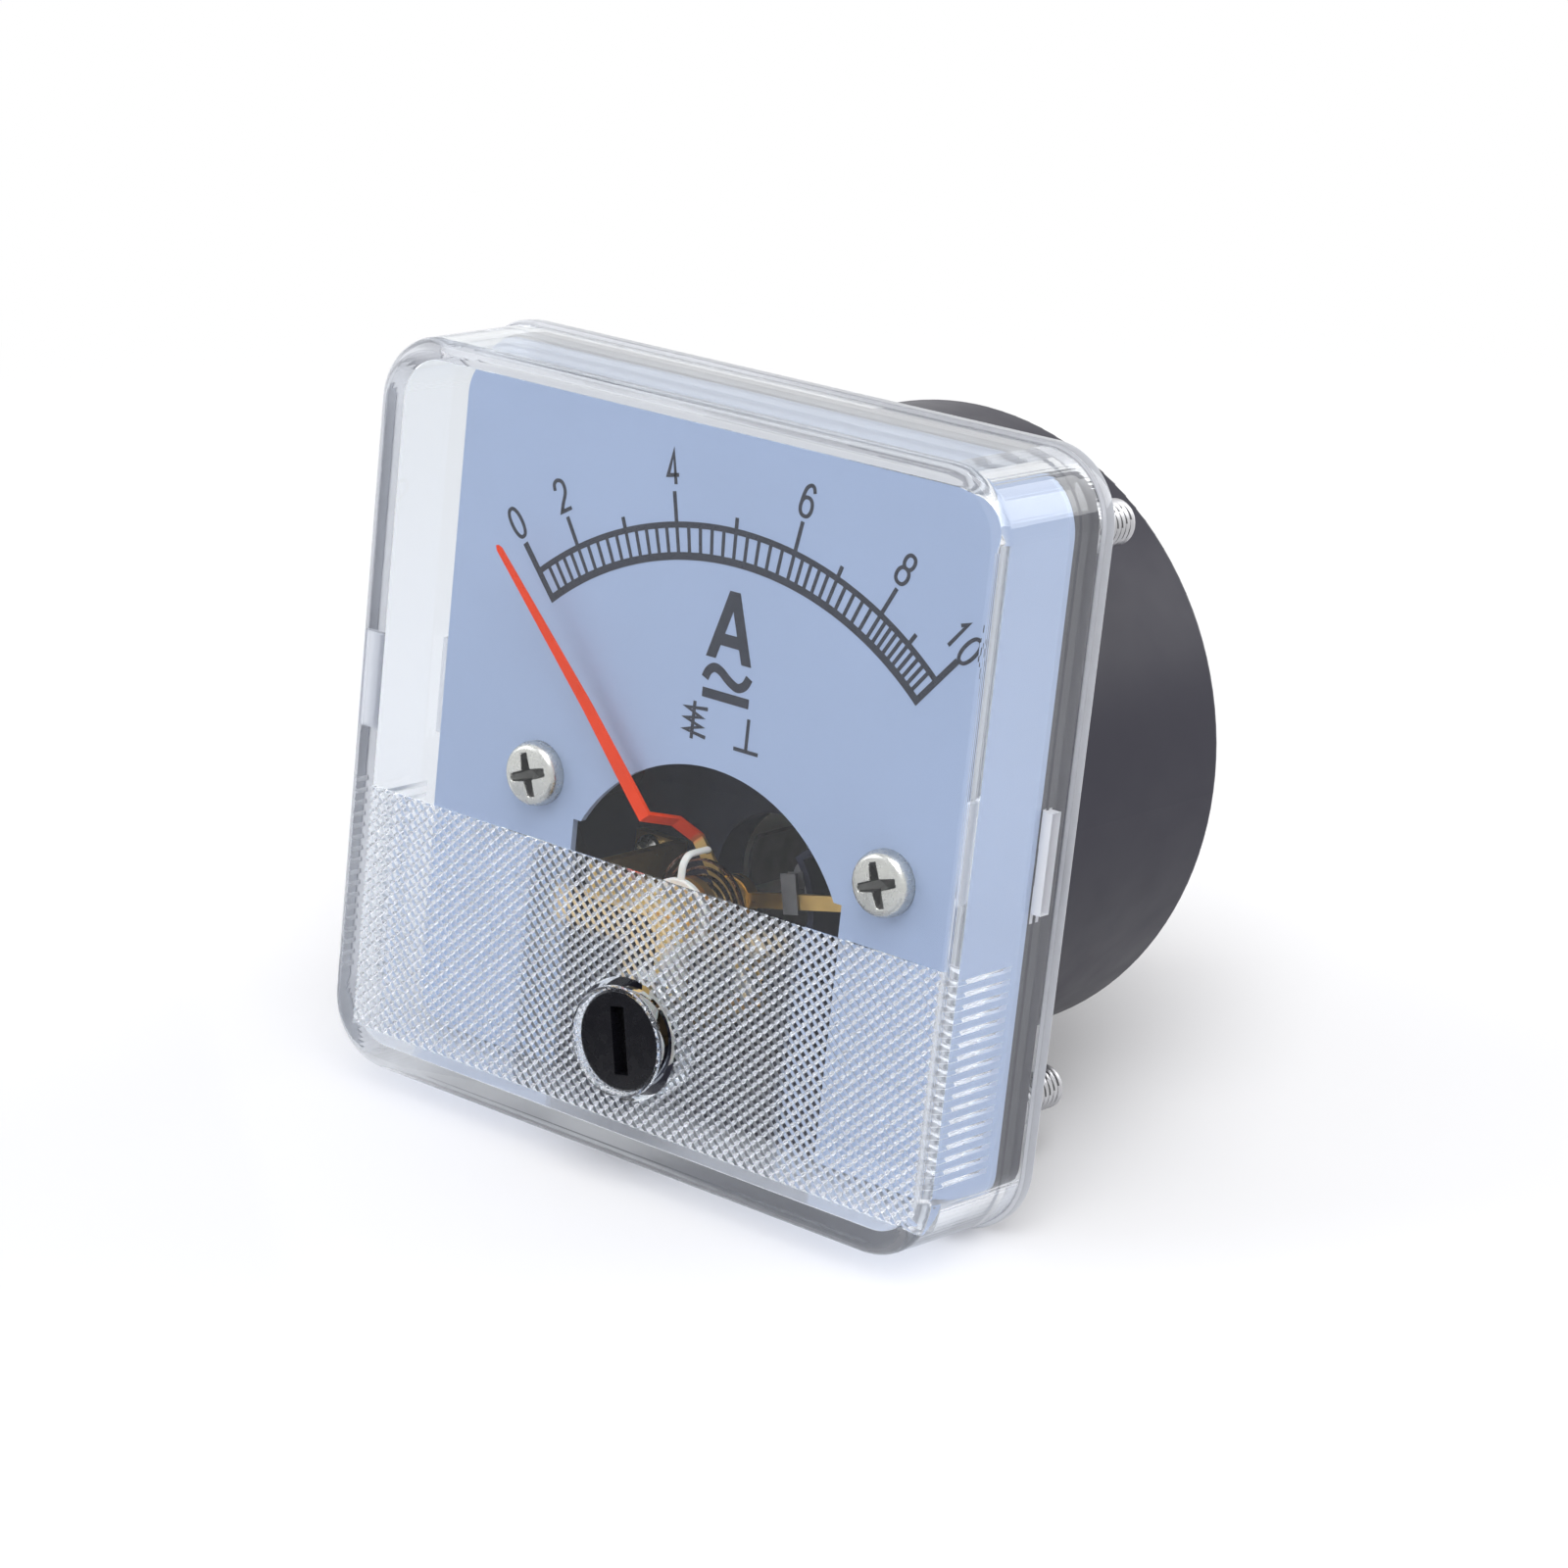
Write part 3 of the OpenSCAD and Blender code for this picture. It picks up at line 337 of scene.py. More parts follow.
def ribbon(path, width, front, back, closed=False):
    """Points and faces of a flat closed strip along an (n, 2) path of [x, z], between two
    depths. Each side lies half a width off the path along the mitre of its two segments."""
    path = np.asarray(path, float)
    sharpest = 0.35
    step = np.diff(path, axis=0)
    if closed:
        step = np.vstack([step, path[0] - path[-1]])
    step /= np.linalg.norm(step, axis=1)[:, None]
    if closed:
        before, after = np.roll(step, 1, axis=0), step
    else:
        before, after = np.vstack([step[:1], step]), np.vstack([step, step[-1:]])
    middle = before + after
    middle /= np.linalg.norm(middle, axis=1)[:, None]
    across = np.stack([-middle[:, 1], middle[:, 0]], -1)
    open_out = np.maximum((middle * after).sum(1), sharpest)[:, None]
    side = across * width / 2 / open_out
    left, right = path + side, path - side
    n = len(path)
    ring = [(left, front), (right, front), (right, back), (left, back)]
    points = np.stack([np.column_stack([p[:, 0], np.full(n, y), p[:, 1]]) for p, y in ring], 1)
    quads = strip_faces(n + 1 if closed else n, 4) % (4 * n)
    ends = [] if closed else [[0, 1, 2, 3], [4 * n - 1, 4 * n - 2, 4 * n - 3, 4 * n - 4]]
    return points.reshape(-1, 3), [*quads.tolist(), *ends]


def plate(outline, front, back):
    """Points and faces of a flat closed plate with a convex or simple outline of [x, z]."""
    x, z = np.asarray(outline, float).T
    n = len(x)
    points = np.concatenate([np.column_stack([x, np.full(n, y), z]) for y in (front, back)])
    return points, [*strip_faces(2, n).tolist(), list(range(n))[::-1], list(range(n, 2 * n))]


def join(name, parts):
    """One closed mesh from several (points, faces)."""
    points, faces, start = [], [], 0
    for p, f in parts:
        points.append(p)
        faces += [[v + start for v in face] for face in f]
        start += len(p)
    return closed_mesh(name, np.concatenate(points), faces)


def block(low, high):
    """A box between two corners."""
    corners = np.array(np.meshgrid(*zip(low, high), indexing="ij")).reshape(3, -1).T
    quads = [[0, 1, 3, 2], [4, 6, 7, 5], [0, 4, 5, 1], [2, 3, 7, 6], [0, 2, 6, 4], [1, 5, 7, 3]]
    return closed_mesh("block", corners, quads)


def quarter(cx, cy, r, start, end, steps):
    """Points of an arc about a centre, between two angles in degrees."""
    a = np.linspace(math.radians(start), math.radians(end), steps)
    return np.stack([cx + r * np.cos(a), cy + r * np.sin(a)], -1)


def smooth_path(points, per_piece=8):
    """A Catmull-Rom curve through the points."""
    p = np.asarray(points, float)
    p = np.vstack([2 * p[0] - p[1], p, 2 * p[-1] - p[-2]])
    t = np.arange(per_piece)[:, None] / per_piece
    a, b, c, d = (p[i : len(p) - 3 + i, None] for i in range(4))
    curve = 0.5 * (2 * b + (c - a) * t + (2 * a - 5 * b + 4 * c - d) * t**2
                   + (3 * b - 3 * c + d - a) * t**3)
    return np.vstack([curve.reshape(-1, 2), p[-2]])


def face_centres(mesh, origin=(0, 0, 0)):
    """x, y and z of the middle of each face, from an origin."""
    return (read(mesh.polygons, "center", 3) - origin).T


def second_finish(mesh, mask, material):
    """Gives the marked faces another finish."""
    mesh.materials.append(material)
    index = read(mesh.polygons, "material_index", kind=np.int32)
    index[mask] = len(mesh.materials) - 1
    mesh.polygons.foreach_set("material_index", index)
    mesh.update()


def add_piece(name, mesh, material, slot, *replaced, body="case", sharp=None):
    """Makes the piece's object, with its shading, its finish and its body, and hides the nodes it
    stands for. The slot is not used. Faces that meet above the angle sharp, in degrees, keep a
    sharp edge."""
    mesh.name = name
    if sharp:
        soften(mesh, sharp)
    obj = make_object(name, mesh)
    mesh.materials.clear()
    mesh.materials.append(material)
    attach(obj, body)
    if replaced:
        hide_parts(*replaced)


def middle_of(node):
    """The middle of a CAD node, as (x, z)."""
    low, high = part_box(node)
    return (low.x + high.x) / 2, (low.z + high.z) / 2


# ---- Finishes ----


def put(tree, kind, *feeds, get=0, **values):
    """Adds a shader node and returns one of its outputs. Values set its inputs and fields by
    name, and each feed is a socket or a constant with the input that it goes to."""
    node = tree.nodes.new("ShaderNode" + kind)
    for key, value in values.items():
        if key in node.bl_rna.properties:
            setattr(node, key, value)
        else:
            node.inputs[key.replace("_", " ")].default_value = value
    for source, target in feeds:
        if isinstance(source, bpy.types.NodeSocket):
            tree.links.new(source, node.inputs[target])
        else:
            node.inputs[target].default_value = source
    return node.outputs[get]


def blank(name):
    """A new material and its empty tree."""
    material = bpy.data.materials.new(name)
    material.use_nodes = True
    material.node_tree.nodes.clear()
    return material, material.node_tree


def show(tree, shader, kind="Material"):
    """Sends a shader to the output of its material or world."""
    out = tree.nodes.new("ShaderNodeOutput" + kind)
    tree.links.new(shader, out.inputs["Surface"])


def shade(code, factor):
    """A colour made lighter or darker."""
    return (*(min(1.0, c * factor) for c in code[:3]), 1.0)


def grain(tree, size_mm, detail=3.0, stretch=None):
    """Noise in the object's own coordinates, with features of a real size."""
    place = put(tree, "TexCoord", get="Object")
    if stretch:
        place = put(tree, "Mapping", (place, "Vector"), Scale=stretch)
    return put(tree, "TexNoise", (place, "Vector"), Scale=1 / (size_mm * MM), Detail=detail)


def between(tree, source, low, high):
    """Maps the middle half of noise to a range."""
    return put(tree, "MapRange", (source, "Value"), From_Min=0.25, From_Max=0.75, To_Min=low,
               To_Max=high)


def two_tone(tree, source, tone, dark, light):
    """A ramp between a darker and a lighter shade of a tone."""
    ramp = put(tree, "ValToRGB", (source, "Fac"))
    steps = ramp.node.color_ramp.elements
    for step, place, factor in zip(steps, (0.3, 0.7), (dark, light)):
        step.position, step.color = place, shade(tone, factor)
    return ramp


def rays(tree, *kinds):
    """1 for the named kinds of ray and 0 for all others."""
    path = put(tree, "LightPath").node.outputs
    seen = path[f"Is {kinds[0]} Ray"]
    for kind in kinds[1:]:
        seen = put(tree, "Math", (seen, 0), (path[f"Is {kind} Ray"], 1), operation="MAXIMUM")
    return seen


def white_rays(tree):
    """1 for camera, mirror and see-through rays, which see the background white."""
    return rays(tree, "Camera", "Glossy", "Transmission")


def surface(name, tone, rough, tones=0.06, tone_mm=4.0, rough_mm=0.8, bump_mm=0.15,
            bump=0.0, stretch=None, **shader):
    """A painted, moulded or metal finish. Its tone drifts by a share of itself over tone_mm, its
    roughness between two values over rough_mm, and bump raises grain of bump_mm, in metres."""
    material, tree = blank(name)
    drift = grain(tree, tone_mm, 2.0)
    fine = grain(tree, rough_mm, 4.0, stretch)
    feeds = [(two_tone(tree, drift, tone, 1 - tones, 1 + tones), "Base Color"),
             (between(tree, fine, *rough), "Roughness")]
    if bump:
        relief = put(tree, "Bump", (grain(tree, bump_mm, 3.0, stretch), "Height"), Strength=1.0,
                     Distance=bump)
        feeds.append((relief, "Normal"))
    show(tree, put(tree, "BsdfPrincipled", *feeds, **shader))
    return material


def acrylic(name, rough, flow, haze_and_glint=0.0):
    """Clear acrylic. Lamps and soft light pass straight through it, so that what lies behind is
    lit; flow is the height of its slow surface waves, in metres, and haze_and_glint the share of
    a white diffuse layer over the glass, partly a rough surface's scatter and partly a painted
    glint."""
    material, tree = blank(name)
    waves = put(tree, "Bump", (grain(tree, 9.0, 1.0), "Height"), Strength=1.0, Distance=flow)
    glass = put(tree, "BsdfGlass", (waves, "Normal"), Color=linear("#FBFCFD"), Roughness=rough,
                IOR=1.49)
    window = put(tree, "BsdfTransparent", Color=linear("#F6F7F9"))
    passes = rays(tree, "Shadow", "Diffuse")
    shader = put(tree, "MixShader", (passes, 0), (glass, 1), (window, 2))
    if haze_and_glint:
        # A white diffuse layer: partly a rough surface's scatter, partly a painted glint
        white = put(tree, "BsdfDiffuse", Color=linear("#E6E7EC"))
        shader = put(tree, "MixShader", (shader, 1), (white, 2), Fac=haze_and_glint)
    show(tree, shader)
    return material


# Roughness, height of the waves and white haze, which paints a pale glint
ACRYLICS = {
    # Polished glass with faint flow marks that bend what lies behind by a hair
    "clear_polished_acrylic": (0.0, 0.004 * MM),
    # The moulded slopes of the ridges and ribs: less polished, with a faint white haze, partly
    # their scatter and partly painted glow
    "clear_textured_acrylic": (0.28, 0.004 * MM, 0.1),
    # The latch windows and the rim's rear face: rough, under a strong white haze that paints a
    # pale glint, which the clear walls carry forward to their edges
    "pale_satin_acrylic": (0.45, 0.02 * MM, 0.65),
}

# Colour, shade, range of roughness and what else differs from surface()
FINISHES = {
    # Matt, with a fine sparkle-free grain and slightly uneven sheen
    "black_moulded_phenolic": ("housing", 1, (0.36, 0.44), dict(
        tones=0.04, tone_mm=14.0, rough_mm=3.0, bump_mm=0.15, bump=0.0015 * MM, IOR=1.5,
        Specular_IOR_Level=0.17)),
    # A clean highlight, softened here and there by handling
    "black_glossy_styrene": ("gloss", 1, (0.24, 0.3), dict(
        tones=0.05, rough_mm=0.9, bump_mm=0.6, bump=0.0005 * MM, IOR=1.55)),
    # Satin, so that the inside of the meter stays dark but not flat
    "black_satin_nylon": ("frame", 1, (0.35, 0.55), dict(
        tones=0.15, rough_mm=0.7, bump_mm=0.2, bump=0.004 * MM, IOR=1.53,
        Specular_IOR_Level=0.2)),
    # Even, with the faint orange peel of spraying
    "pale_blue_stoved_enamel": ("dial", 1, (0.38, 0.5), dict(
        tones=0.02, tone_mm=12.0, rough_mm=2.0, bump_mm=0.8, bump=0.002 * MM, IOR=1.5)),
    # Flat, with slight thin spots
    "dark_screen_ink": ("ink", 1, (0.55, 0.7), dict(
        tones=0.12, tone_mm=0.6, rough_mm=0.3, IOR=1.5)),
    # Mirror-like, with small scuffs from the driver
    "bright_nickel_plate": ("nickel", 1, (0.2, 0.32), dict(
        tones=0.05, tone_mm=1.2, rough_mm=0.5, bump_mm=0.5, bump=0.002 * MM, Metallic=1.0)),
    # The punched recess: nickel at a fifth of its brightness, painted shade that keeps it dark
    # grey
    "dull_recess_nickel": ("nickel", 0.2, (0.4, 0.55), dict(
        tones=0.1, tone_mm=0.6, rough_mm=0.3, Metallic=1.0)),
    # The flanks of a rolled thread, darkened as painted shade in its grooves
    "dull_thread_zinc": ("steel", 0.22, (0.4, 0.55), dict(
        tones=0.1, tone_mm=0.6, rough_mm=0.3, Metallic=1.0)),
    # A soft grey shine with cloudy patches
    "zinc_plated_steel": ("steel", 1, (0.28, 0.5), dict(
        tones=0.1, tone_mm=1.5, rough_mm=0.4, bump_mm=0.2, bump=0.003 * MM, Metallic=1.0)),
    # Darker and smoother than the plated pieces
    "blued_spring_steel": ("steel", 0.5, (0.25, 0.4), dict(
        tones=0.12, tone_mm=1.0, rough_mm=0.3, Metallic=1.0)),
    # Streaked along the staff's axis
    "ground_polished_steel": ("steel", 1, (0.12, 0.28), dict(
        tone_mm=1.0, rough_mm=0.2, stretch=(1, 0.1, 1), Metallic=1.0)),
    # Dull grey with a scaly bloom
    "annealed_iron_sheet": ("steel", 0.45, (0.4, 0.6), dict(
        tones=0.15, tone_mm=1.2, rough_mm=0.3, bump_mm=0.2, bump=0.003 * MM, Metallic=1.0)),
    # Pale, with rolling streaks
    "rolled_aluminium_sheet": ("nickel", 1.02, (0.25, 0.42), dict(
        tones=0.04, rough_mm=0.5, stretch=(1, 1, 0.15), Metallic=1.0)),
    # Warm yellow with streaks and dulled patches
    "rolled_brass_sheet": ("brass", 1, (0.25, 0.45), dict(
        tones=0.1, tone_mm=1.5, rough_mm=0.4, bump_mm=0.3, bump=0.003 * MM,
        stretch=(0.2, 1, 1), Metallic=1.0)),
    # Brighter, with fine tool marks round the axis
    "turned_brass": ("brass", 1.05, (0.16, 0.3), dict(
        tone_mm=1.0, rough_mm=0.15, bump_mm=0.12, bump=0.002 * MM, stretch=(1, 3, 1),
        Metallic=1.0)),
    # Bright and waxy
    "white_acetal": ("white", 1, (0.35, 0.5), dict(
        tones=0.03, tone_mm=2.0, rough_mm=0.6, bump_mm=0.3, bump=0.002 * MM, IOR=1.48,
        Subsurface_Weight=0.15, Subsurface_Scale=0.4 * MM)),
    # Metal colour under a smooth clear coat
    "enamelled_copper_wire": ("copper", 1, (0.25, 0.4), dict(
        tones=0.12, tone_mm=1.5, rough_mm=0.4, Metallic=1.0, Coat_Weight=0.8,
        Coat_Roughness=0.1)),
    # Dark brown metal, smooth enough to glint
    "spring_bronze_strip": ("bronze", 1, (0.2, 0.35), dict(
        tones=0.08, tone_mm=1.0, rough_mm=0.2, Metallic=1.0)),
}


def finish(name):
    """A new material of a finish in the tables."""
    if name in ACRYLICS:
        return acrylic(name, *ACRYLICS[name])
    tone, factor, rough, options = FINISHES[name]
    return surface(name, shade(getattr(colours(), tone), factor), rough, **options)


def pointer_enamel(pivot_z):
    """Signal orange enamel on the pointer's blade: saturated, with a soft sheen. The root, within
    a few millimetres of the axis, stays bare brass."""
    bare_to, painted_from = 4.3 * MM, 4.9 * MM
    material, tree = blank("signal_orange_enamel")
    place = put(tree, "TexCoord", get="Object")
    off = put(tree, "VectorMath", (place, 0), ((0, 0, pivot_z), 1), operation="SUBTRACT")
    flat = put(tree, "VectorMath", (off, 0), ((1, 0, 1), 1), operation="MULTIPLY")
    reach = put(tree, "VectorMath", (flat, 0), get="Value", operation="LENGTH")
    painted = put(tree, "MapRange", (reach, "Value"), From_Min=bare_to, From_Max=painted_from)
    bare = put(tree, "Math", (1.0, 0), (painted, 1), operation="SUBTRACT")
    drift = grain(tree, 2.0, 2.0)
    brass = two_tone(tree, drift, colours().brass, 0.85, 1.05)
    orange = two_tone(tree, drift, colours().pointer, 0.95, 1.05)
    tone = put(tree, "Mix", (painted, "Factor"), (brass, 6), (orange, 7), get=2,
               data_type="RGBA")
    rough = between(tree, grain(tree, 0.4, 4.0), 0.38, 0.52)
    show(tree, put(tree, "BsdfPrincipled", (tone, "Base Color"), (bare, "Metallic"),
                   (rough, "Roughness"), Specular_IOR_Level=0.15))
    return material


# ---- Cover ----

# Heights between which the side walls carry ribs, and depth from which the ribs fade out
RIBS_LOW, RIBS_HIGH, RIBS_END = -20.3 * MM, -6.0 * MM, -3.6 * MM
# Distances from the middle between which a side wall's faces lie
WALL_FROM, WALL_TO = 23.3 * MM, 25.2 * MM
# Rounding of the rim's edges
RIM_BEVEL = 0.12 * MM
# How far a face may lie off its place and still be found
SLACK = 0.01 * MM


def cover_shell(s):
    """The cover's shell as one loft. Its profile runs over the front edge, down the drafted
    wall, round the rim and up the inner wall, whose sides carry horizontal V ribs that fade
    out towards the rim: inward = -depth * v(z mod pitch) * fade(y)."""
    corner, edge = s.cover_corner, s.cover_edge
    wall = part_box("front_cover")[1].x - s.rim_proud
    c_front = wall - s.side_draft - corner
    c_rim = wall - corner
    c_in = c_rim - s.side_draft / 2
    r_in = corner - s.side_wall
    face = -s.face_depth
    inner = face + s.front_wall
    bevel, fillet, fade_length = RIM_BEVEL, 0.05 * MM, 3.4 * MM

    rows = [[c_front, *p] for p in quarter(corner - edge, face + edge, edge, -90, 0, 14)]
    rows.append([c_rim, corner, -s.rim_length])
    proud = corner + s.rim_proud - bevel
    rows += [[c_rim, *p] for p in quarter(proud, -s.rim_length + bevel, bevel, -90, 0, 5)]
    rows += [[c_rim, *p] for p in quarter(proud, -bevel, bevel, 0, 90, 5)]
    start = len(rows)
    rows += [[c_rim + (c_in - c_rim) * t, r_in, t * (inner + fillet)]
             for t in np.linspace(0, 1, 30)]
    stop = len(rows)
    rows += [[c_in, *p] for p in quarter(r_in - fillet, inner + fillet, fillet, 0, -90, 3)[1:]]
    profile = np.array(rows)

    steps = round((RIBS_HIGH - RIBS_LOW) / s.rib_pitch)
    foot = s.rib_width / 2
    over = np.array([-foot, 0, foot]) + s.rib_pitch / 2
    ribs = (RIBS_LOW + np.arange(steps)[:, None] * s.rib_pitch + over).ravel()
    up = np.concatenate([np.linspace(-c_rim, RIBS_LOW, 4)[:-1], ribs,
                         np.linspace(ribs[-1], c_rim, 12)[1:]])
    plain = np.linspace(-1, 1, 15)
    core, normal = square_outline([up / c_rim, plain, -up[::-1] / c_rim, plain], 20)

    z = core[:, 1] * c_rim
    on_side = (np.abs(normal[:, 0]) > 0.999) & (z >= ribs[0]) & (z <= ribs[-1])
    off_peak = (z - RIBS_LOW) % s.rib_pitch - s.rib_pitch / 2
    wave = np.clip(1 - np.abs(off_peak) / foot, 0, 1)
    fade = np.clip((RIBS_END - profile[:, 2]) / fade_length, 0, 1)
    fade[:start] = fade[stop:] = 0
    inward = -s.rib_depth * fade[:, None] * (wave * on_side)
    return loft("shell", core, normal, profile, inward)


def ridged_slab(s, inner):
    """Crossed ridges at 45 degrees on a thin slab: height = max(v(a), v(b)), where a and b run
    along both diagonals and v is a V of the ridge's width once every pitch. The grid's lines
    follow the ridges' peaks and feet, so every facet is exact. A box then trims the slab."""
    reach, half_wide, half_high, thickness = 34 * MM, 25 * MM, 11 * MM, 0.4 * MM
    z0 = -14.3 * MM
    pitch, foot = s.ridge_pitch, s.ridge_width / 2
    count = math.ceil(reach / pitch)
    line = (np.arange(-count, count)[:, None] * pitch + np.array([0, foot, pitch - foot])).ravel()
    peak = np.tile([1.0, 0.0, 0.0], 2 * count)
    a, b = np.meshgrid(line, line, indexing="ij")
    height = np.maximum.outer(peak, peak)
    x, z = (a + b) / math.sqrt(2), (a - b) / math.sqrt(2) + z0
    floor = inner - s.ridge_sink
    points = np.concatenate([np.stack([x, y, z], -1).reshape(-1, 3) for y in (
        floor + height * s.ridge_height, np.full_like(x, floor - thickness))])
    # Split each crossing along the crease where the two ridges meet
    n = len(line)
    i, j = (v.ravel() for v in np.meshgrid(np.arange(n - 1), np.arange(n - 1), indexing="ij"))
    inside = (np.abs(x[i, j]) < half_wide) & (np.abs(z[i, j] - z0) < half_high)
    i, j = i[inside], j[inside]
    p = np.stack([i * n + j, i * n + j + 1, (i + 1) * n + j + 1, (i + 1) * n + j], -1)
    falling = ((i % 3 == 0) ^ (j % 3 == 0))[:, None]
    faces = np.concatenate([np.where(falling, p[:, [0, 1, 3]], p[:, [0, 1, 2]]),
                            np.where(falling, p[:, [1, 2, 3]], p[:, [0, 2, 3]])])
    # Close the slab: the same faces underneath, and a wall along each open edge
    total = n * n
    edges = np.concatenate([faces[:, [0, 1]], faces[:, [1, 2]], faces[:, [2, 0]]])
    code = np.sort(edges, 1) @ [total, 1]
    _, index, number = np.unique(code, return_index=True, return_counts=True)
    one, two = edges[index[number == 1]].T
    wall = np.column_stack([two, one, one + total, two + total])
    used = np.unique(faces)
    used = np.concatenate([used, used + total])
    new = np.full(2 * total, -1)
    new[used] = np.arange(len(used))
    return closed_mesh("slab", points[used], new[faces], new[faces[:, ::-1] + total], new[wall])


def clear_cover(s):
    """The whole clear cover: shell, ridged field, sleeve and raised ring, less the seat of the
    adjuster and the latch windows."""
    at = (0.0, middle_of("zero_adjuster")[1])
    face = -s.face_depth
    inner = face + s.front_wall
    floor = inner - s.ridge_sink
    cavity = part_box("front_cover")[1].x - s.rim_proud - s.side_wall
    half, bottom = cavity - 0.15 * MM, -(cavity - 1 * MM)
    top = bottom + s.ridge_field
    field = block((-half, floor, bottom), (half, inner + PAST, top))
    trim = block((-half, floor - 0.2 * MM, bottom), (half, inner + PAST, top))
    slab = combine(ridged_slab(s, inner), [(trim, "INTERSECT")])
    # The sleeve's rear end and root, the front of the raised ring, and the seat's shoulder
    end, root, proud, shoulder = -7.4 * MM, floor - 0.3 * MM, face - 0.25 * MM, -8.65 * MM
    r, t, segments = s.sleeve_radius, 0.15 * MM, 96
    sleeve = lathe("sleeve", [0, r, r, r - t, 0], [root, root, end - t, end, end], at, segments)
    r, foot = s.ring_radius, face + 0.5 * MM
    ring = lathe("ring", [0, r - t, r - t * 0.3, r, r, 0],
                 [proud, proud, proud + t * 0.3, proud + t, foot, foot], at, segments)
    seat, shaft, flare = s.seat_radius, s.shaft_radius, 0.3 * MM
    bore = lathe("bore", [0, seat + flare, seat, seat, shaft, shaft, 0],
                 [face - PAST, proud - 0.2 * MM, proud + 0.12 * MM, shoulder, shoulder,
                  end + PAST, end + PAST], at, segments)
    w, h, y, past = s.window_width / 2, s.window_length / 2, s.latch_depth, 30 * MM
    latch = block((-past, y - w, -h), (past, y + w, h))
    return combine(cover_shell(s), [
        (field, "DIFFERENCE"), (slab, "UNION"), (sleeve, "UNION"), (ring, "UNION"),
        (bore, "DIFFERENCE"), (latch, "DIFFERENCE"),
    ])


def glint_faces(s, mesh):
    """Which faces of the cover line the latch windows or lie on the rim's rear: there a white haze
    paints a pale glint.
    """
    x, y, z = face_centres(mesh)
    x, off, z = np.abs([x, y - s.latch_depth, z])
    latch = (x > WALL_FROM) & (x < WALL_TO) & (off < s.window_width / 2 + SLACK)
    rear = y > -RIM_BEVEL - SLACK
    return latch & (z < s.window_length / 2 + SLACK) | rear


def relief_faces(s, mesh):
    """Which faces of the cover are the slopes of the ridges and ribs."""
    _, to_front, upward = np.abs(read(mesh.polygons, "normal", 3)).T
    x, y, z = face_centres(mesh)
    x = np.abs(x)
    inner = s.front_wall - s.face_depth
    floor = inner - s.ridge_sink
    # A slope's normal leans off the axis, but less than a wall's, and a rib's leans upwards
    level, upright, lean = 0.95, 0.3, 0.1
    half_field, rib_foot = 23.5 * MM, 23.8 * MM
    field = (y > floor - SLACK) & (y < floor + s.ridge_height + SLACK) & (x < half_field)
    slope = field & (to_front < level) & (to_front > upright)
    side = (x > WALL_FROM) & (x < rib_foot) & (y > inner) & (y < RIBS_END)
    rib = side & (upward > lean) & (z < RIBS_HIGH + 0.1 * MM) & (z > RIBS_LOW - 0.2 * MM)
    return slope | rib


# ---- Dial and its print ----

# Angle of each scale value, in degrees clockwise from upright
SCALE = [(0, -40.2), (2, -31.8), (3, -21.9), (4, -11.95), (5, -0.8), (6, 10.2),
         (7, 18.5), (8, 27.5), (9, 33.7), (10, 40.1)]
# Centre of each number, in millimetres
NUMBERS = [("0", -18.5, 12.4), ("2", -14.9, 15.0), ("4", -5.9, 18.6), ("6", 5.0, 18.7),
           ("8", 13.0, 16.0), ("10", 17.9, 12.45)]
# By how much each layer of ink stands before the last, so that no two faces coincide
LAYER = 0.002 * MM

ROUND = np.linspace(0, 2 * np.pi, 28, endpoint=False)
OVAL = np.stack([np.sign(np.cos(ROUND)) * np.abs(np.cos(ROUND)) ** 0.8, np.sin(ROUND)], -1)
# Centre lines of each digit in a box from -1 to 1 each way, as (path, closed)
DIGITS = {
    "0": [(OVAL, True)],
    "1": [([[-0.55, 0.55], [0.1, 1.0], [0.1, -1.0]], False)],
    "2": [(np.vstack([smooth_path([[-0.95, 0.45], [-0.7, 0.85], [0, 1.0], [0.75, 0.82],
                                   [0.95, 0.45], [0.7, 0.0], [-0.3, -0.55], [-0.98, -1.0]]),
                      [[1.0, -1.0]]]), False)],
    "4": [([[0.35, -1.0], [0.35, 1.0], [-1.0, -0.42], [1.0, -0.42]], False)],
    "6": [(smooth_path([[0.9, 0.6], [0.55, 0.93], [0.0, 1.0], [-0.6, 0.75], [-0.9, 0.2],
                        [-0.98, -0.35]]), False),
          (OVAL * [1, 0.6] + [0, -0.4], True)],
    "8": [(OVAL * [0.85, 0.47] + [0, 0.53], True), (OVAL * [1, 0.53] + [0, -0.47], True)],
}

# The filled parts of the ampere sign: outline in millimetres and layer
FILLED = [
    ([(-1.75, 7.17), (-0.95, 7.17), (0.1, 10.45), (0.1, 11.75), (-0.32, 11.75)], 0),
    ([(1.95, 7.17), (0.52, 11.75), (0.1, 11.75), (0.1, 10.45), (1.15, 7.17)], 0),
    ([(-0.75, 8.1), (0.95, 8.1), (0.68, 8.9), (-0.48, 8.9)], 1),
]
# The strokes of the other signs: path and width in millimetres, and layer. A width of None is
# that of the numbers
STROKES = [
    # Wave and bar of the current's kind
    (smooth_path([(-1.65, 5.72), (-1.4, 6.25), (-0.95, 6.55), (-0.4, 6.4), (0.05, 6.08),
                  (0.6, 5.75), (1.1, 5.62), (1.6, 5.9), (1.9, 6.45)]), 0.6, 0),
    ([(-1.75, 4.78), (2.05, 4.78)], 0.64, 0),
    # Zigzag and bar of the movement's kind
    ([(-1.15, 3.7), (-2.88, 3.5), (-1.62, 3.05), (-2.9, 2.78), (-1.58, 2.42), (-2.88, 2.02),
      (-1.15, 1.8)], None, 0),
    ([(-2.25, 4.02), (-2.28, 1.5)], None, 1),
    # Upright mark of the mounting position
    ([(2.2, 3.82), (2.2, 1.75)], None, 0),
    ([(1.2, 1.68), (3.2, 1.68)], None, 1),
]


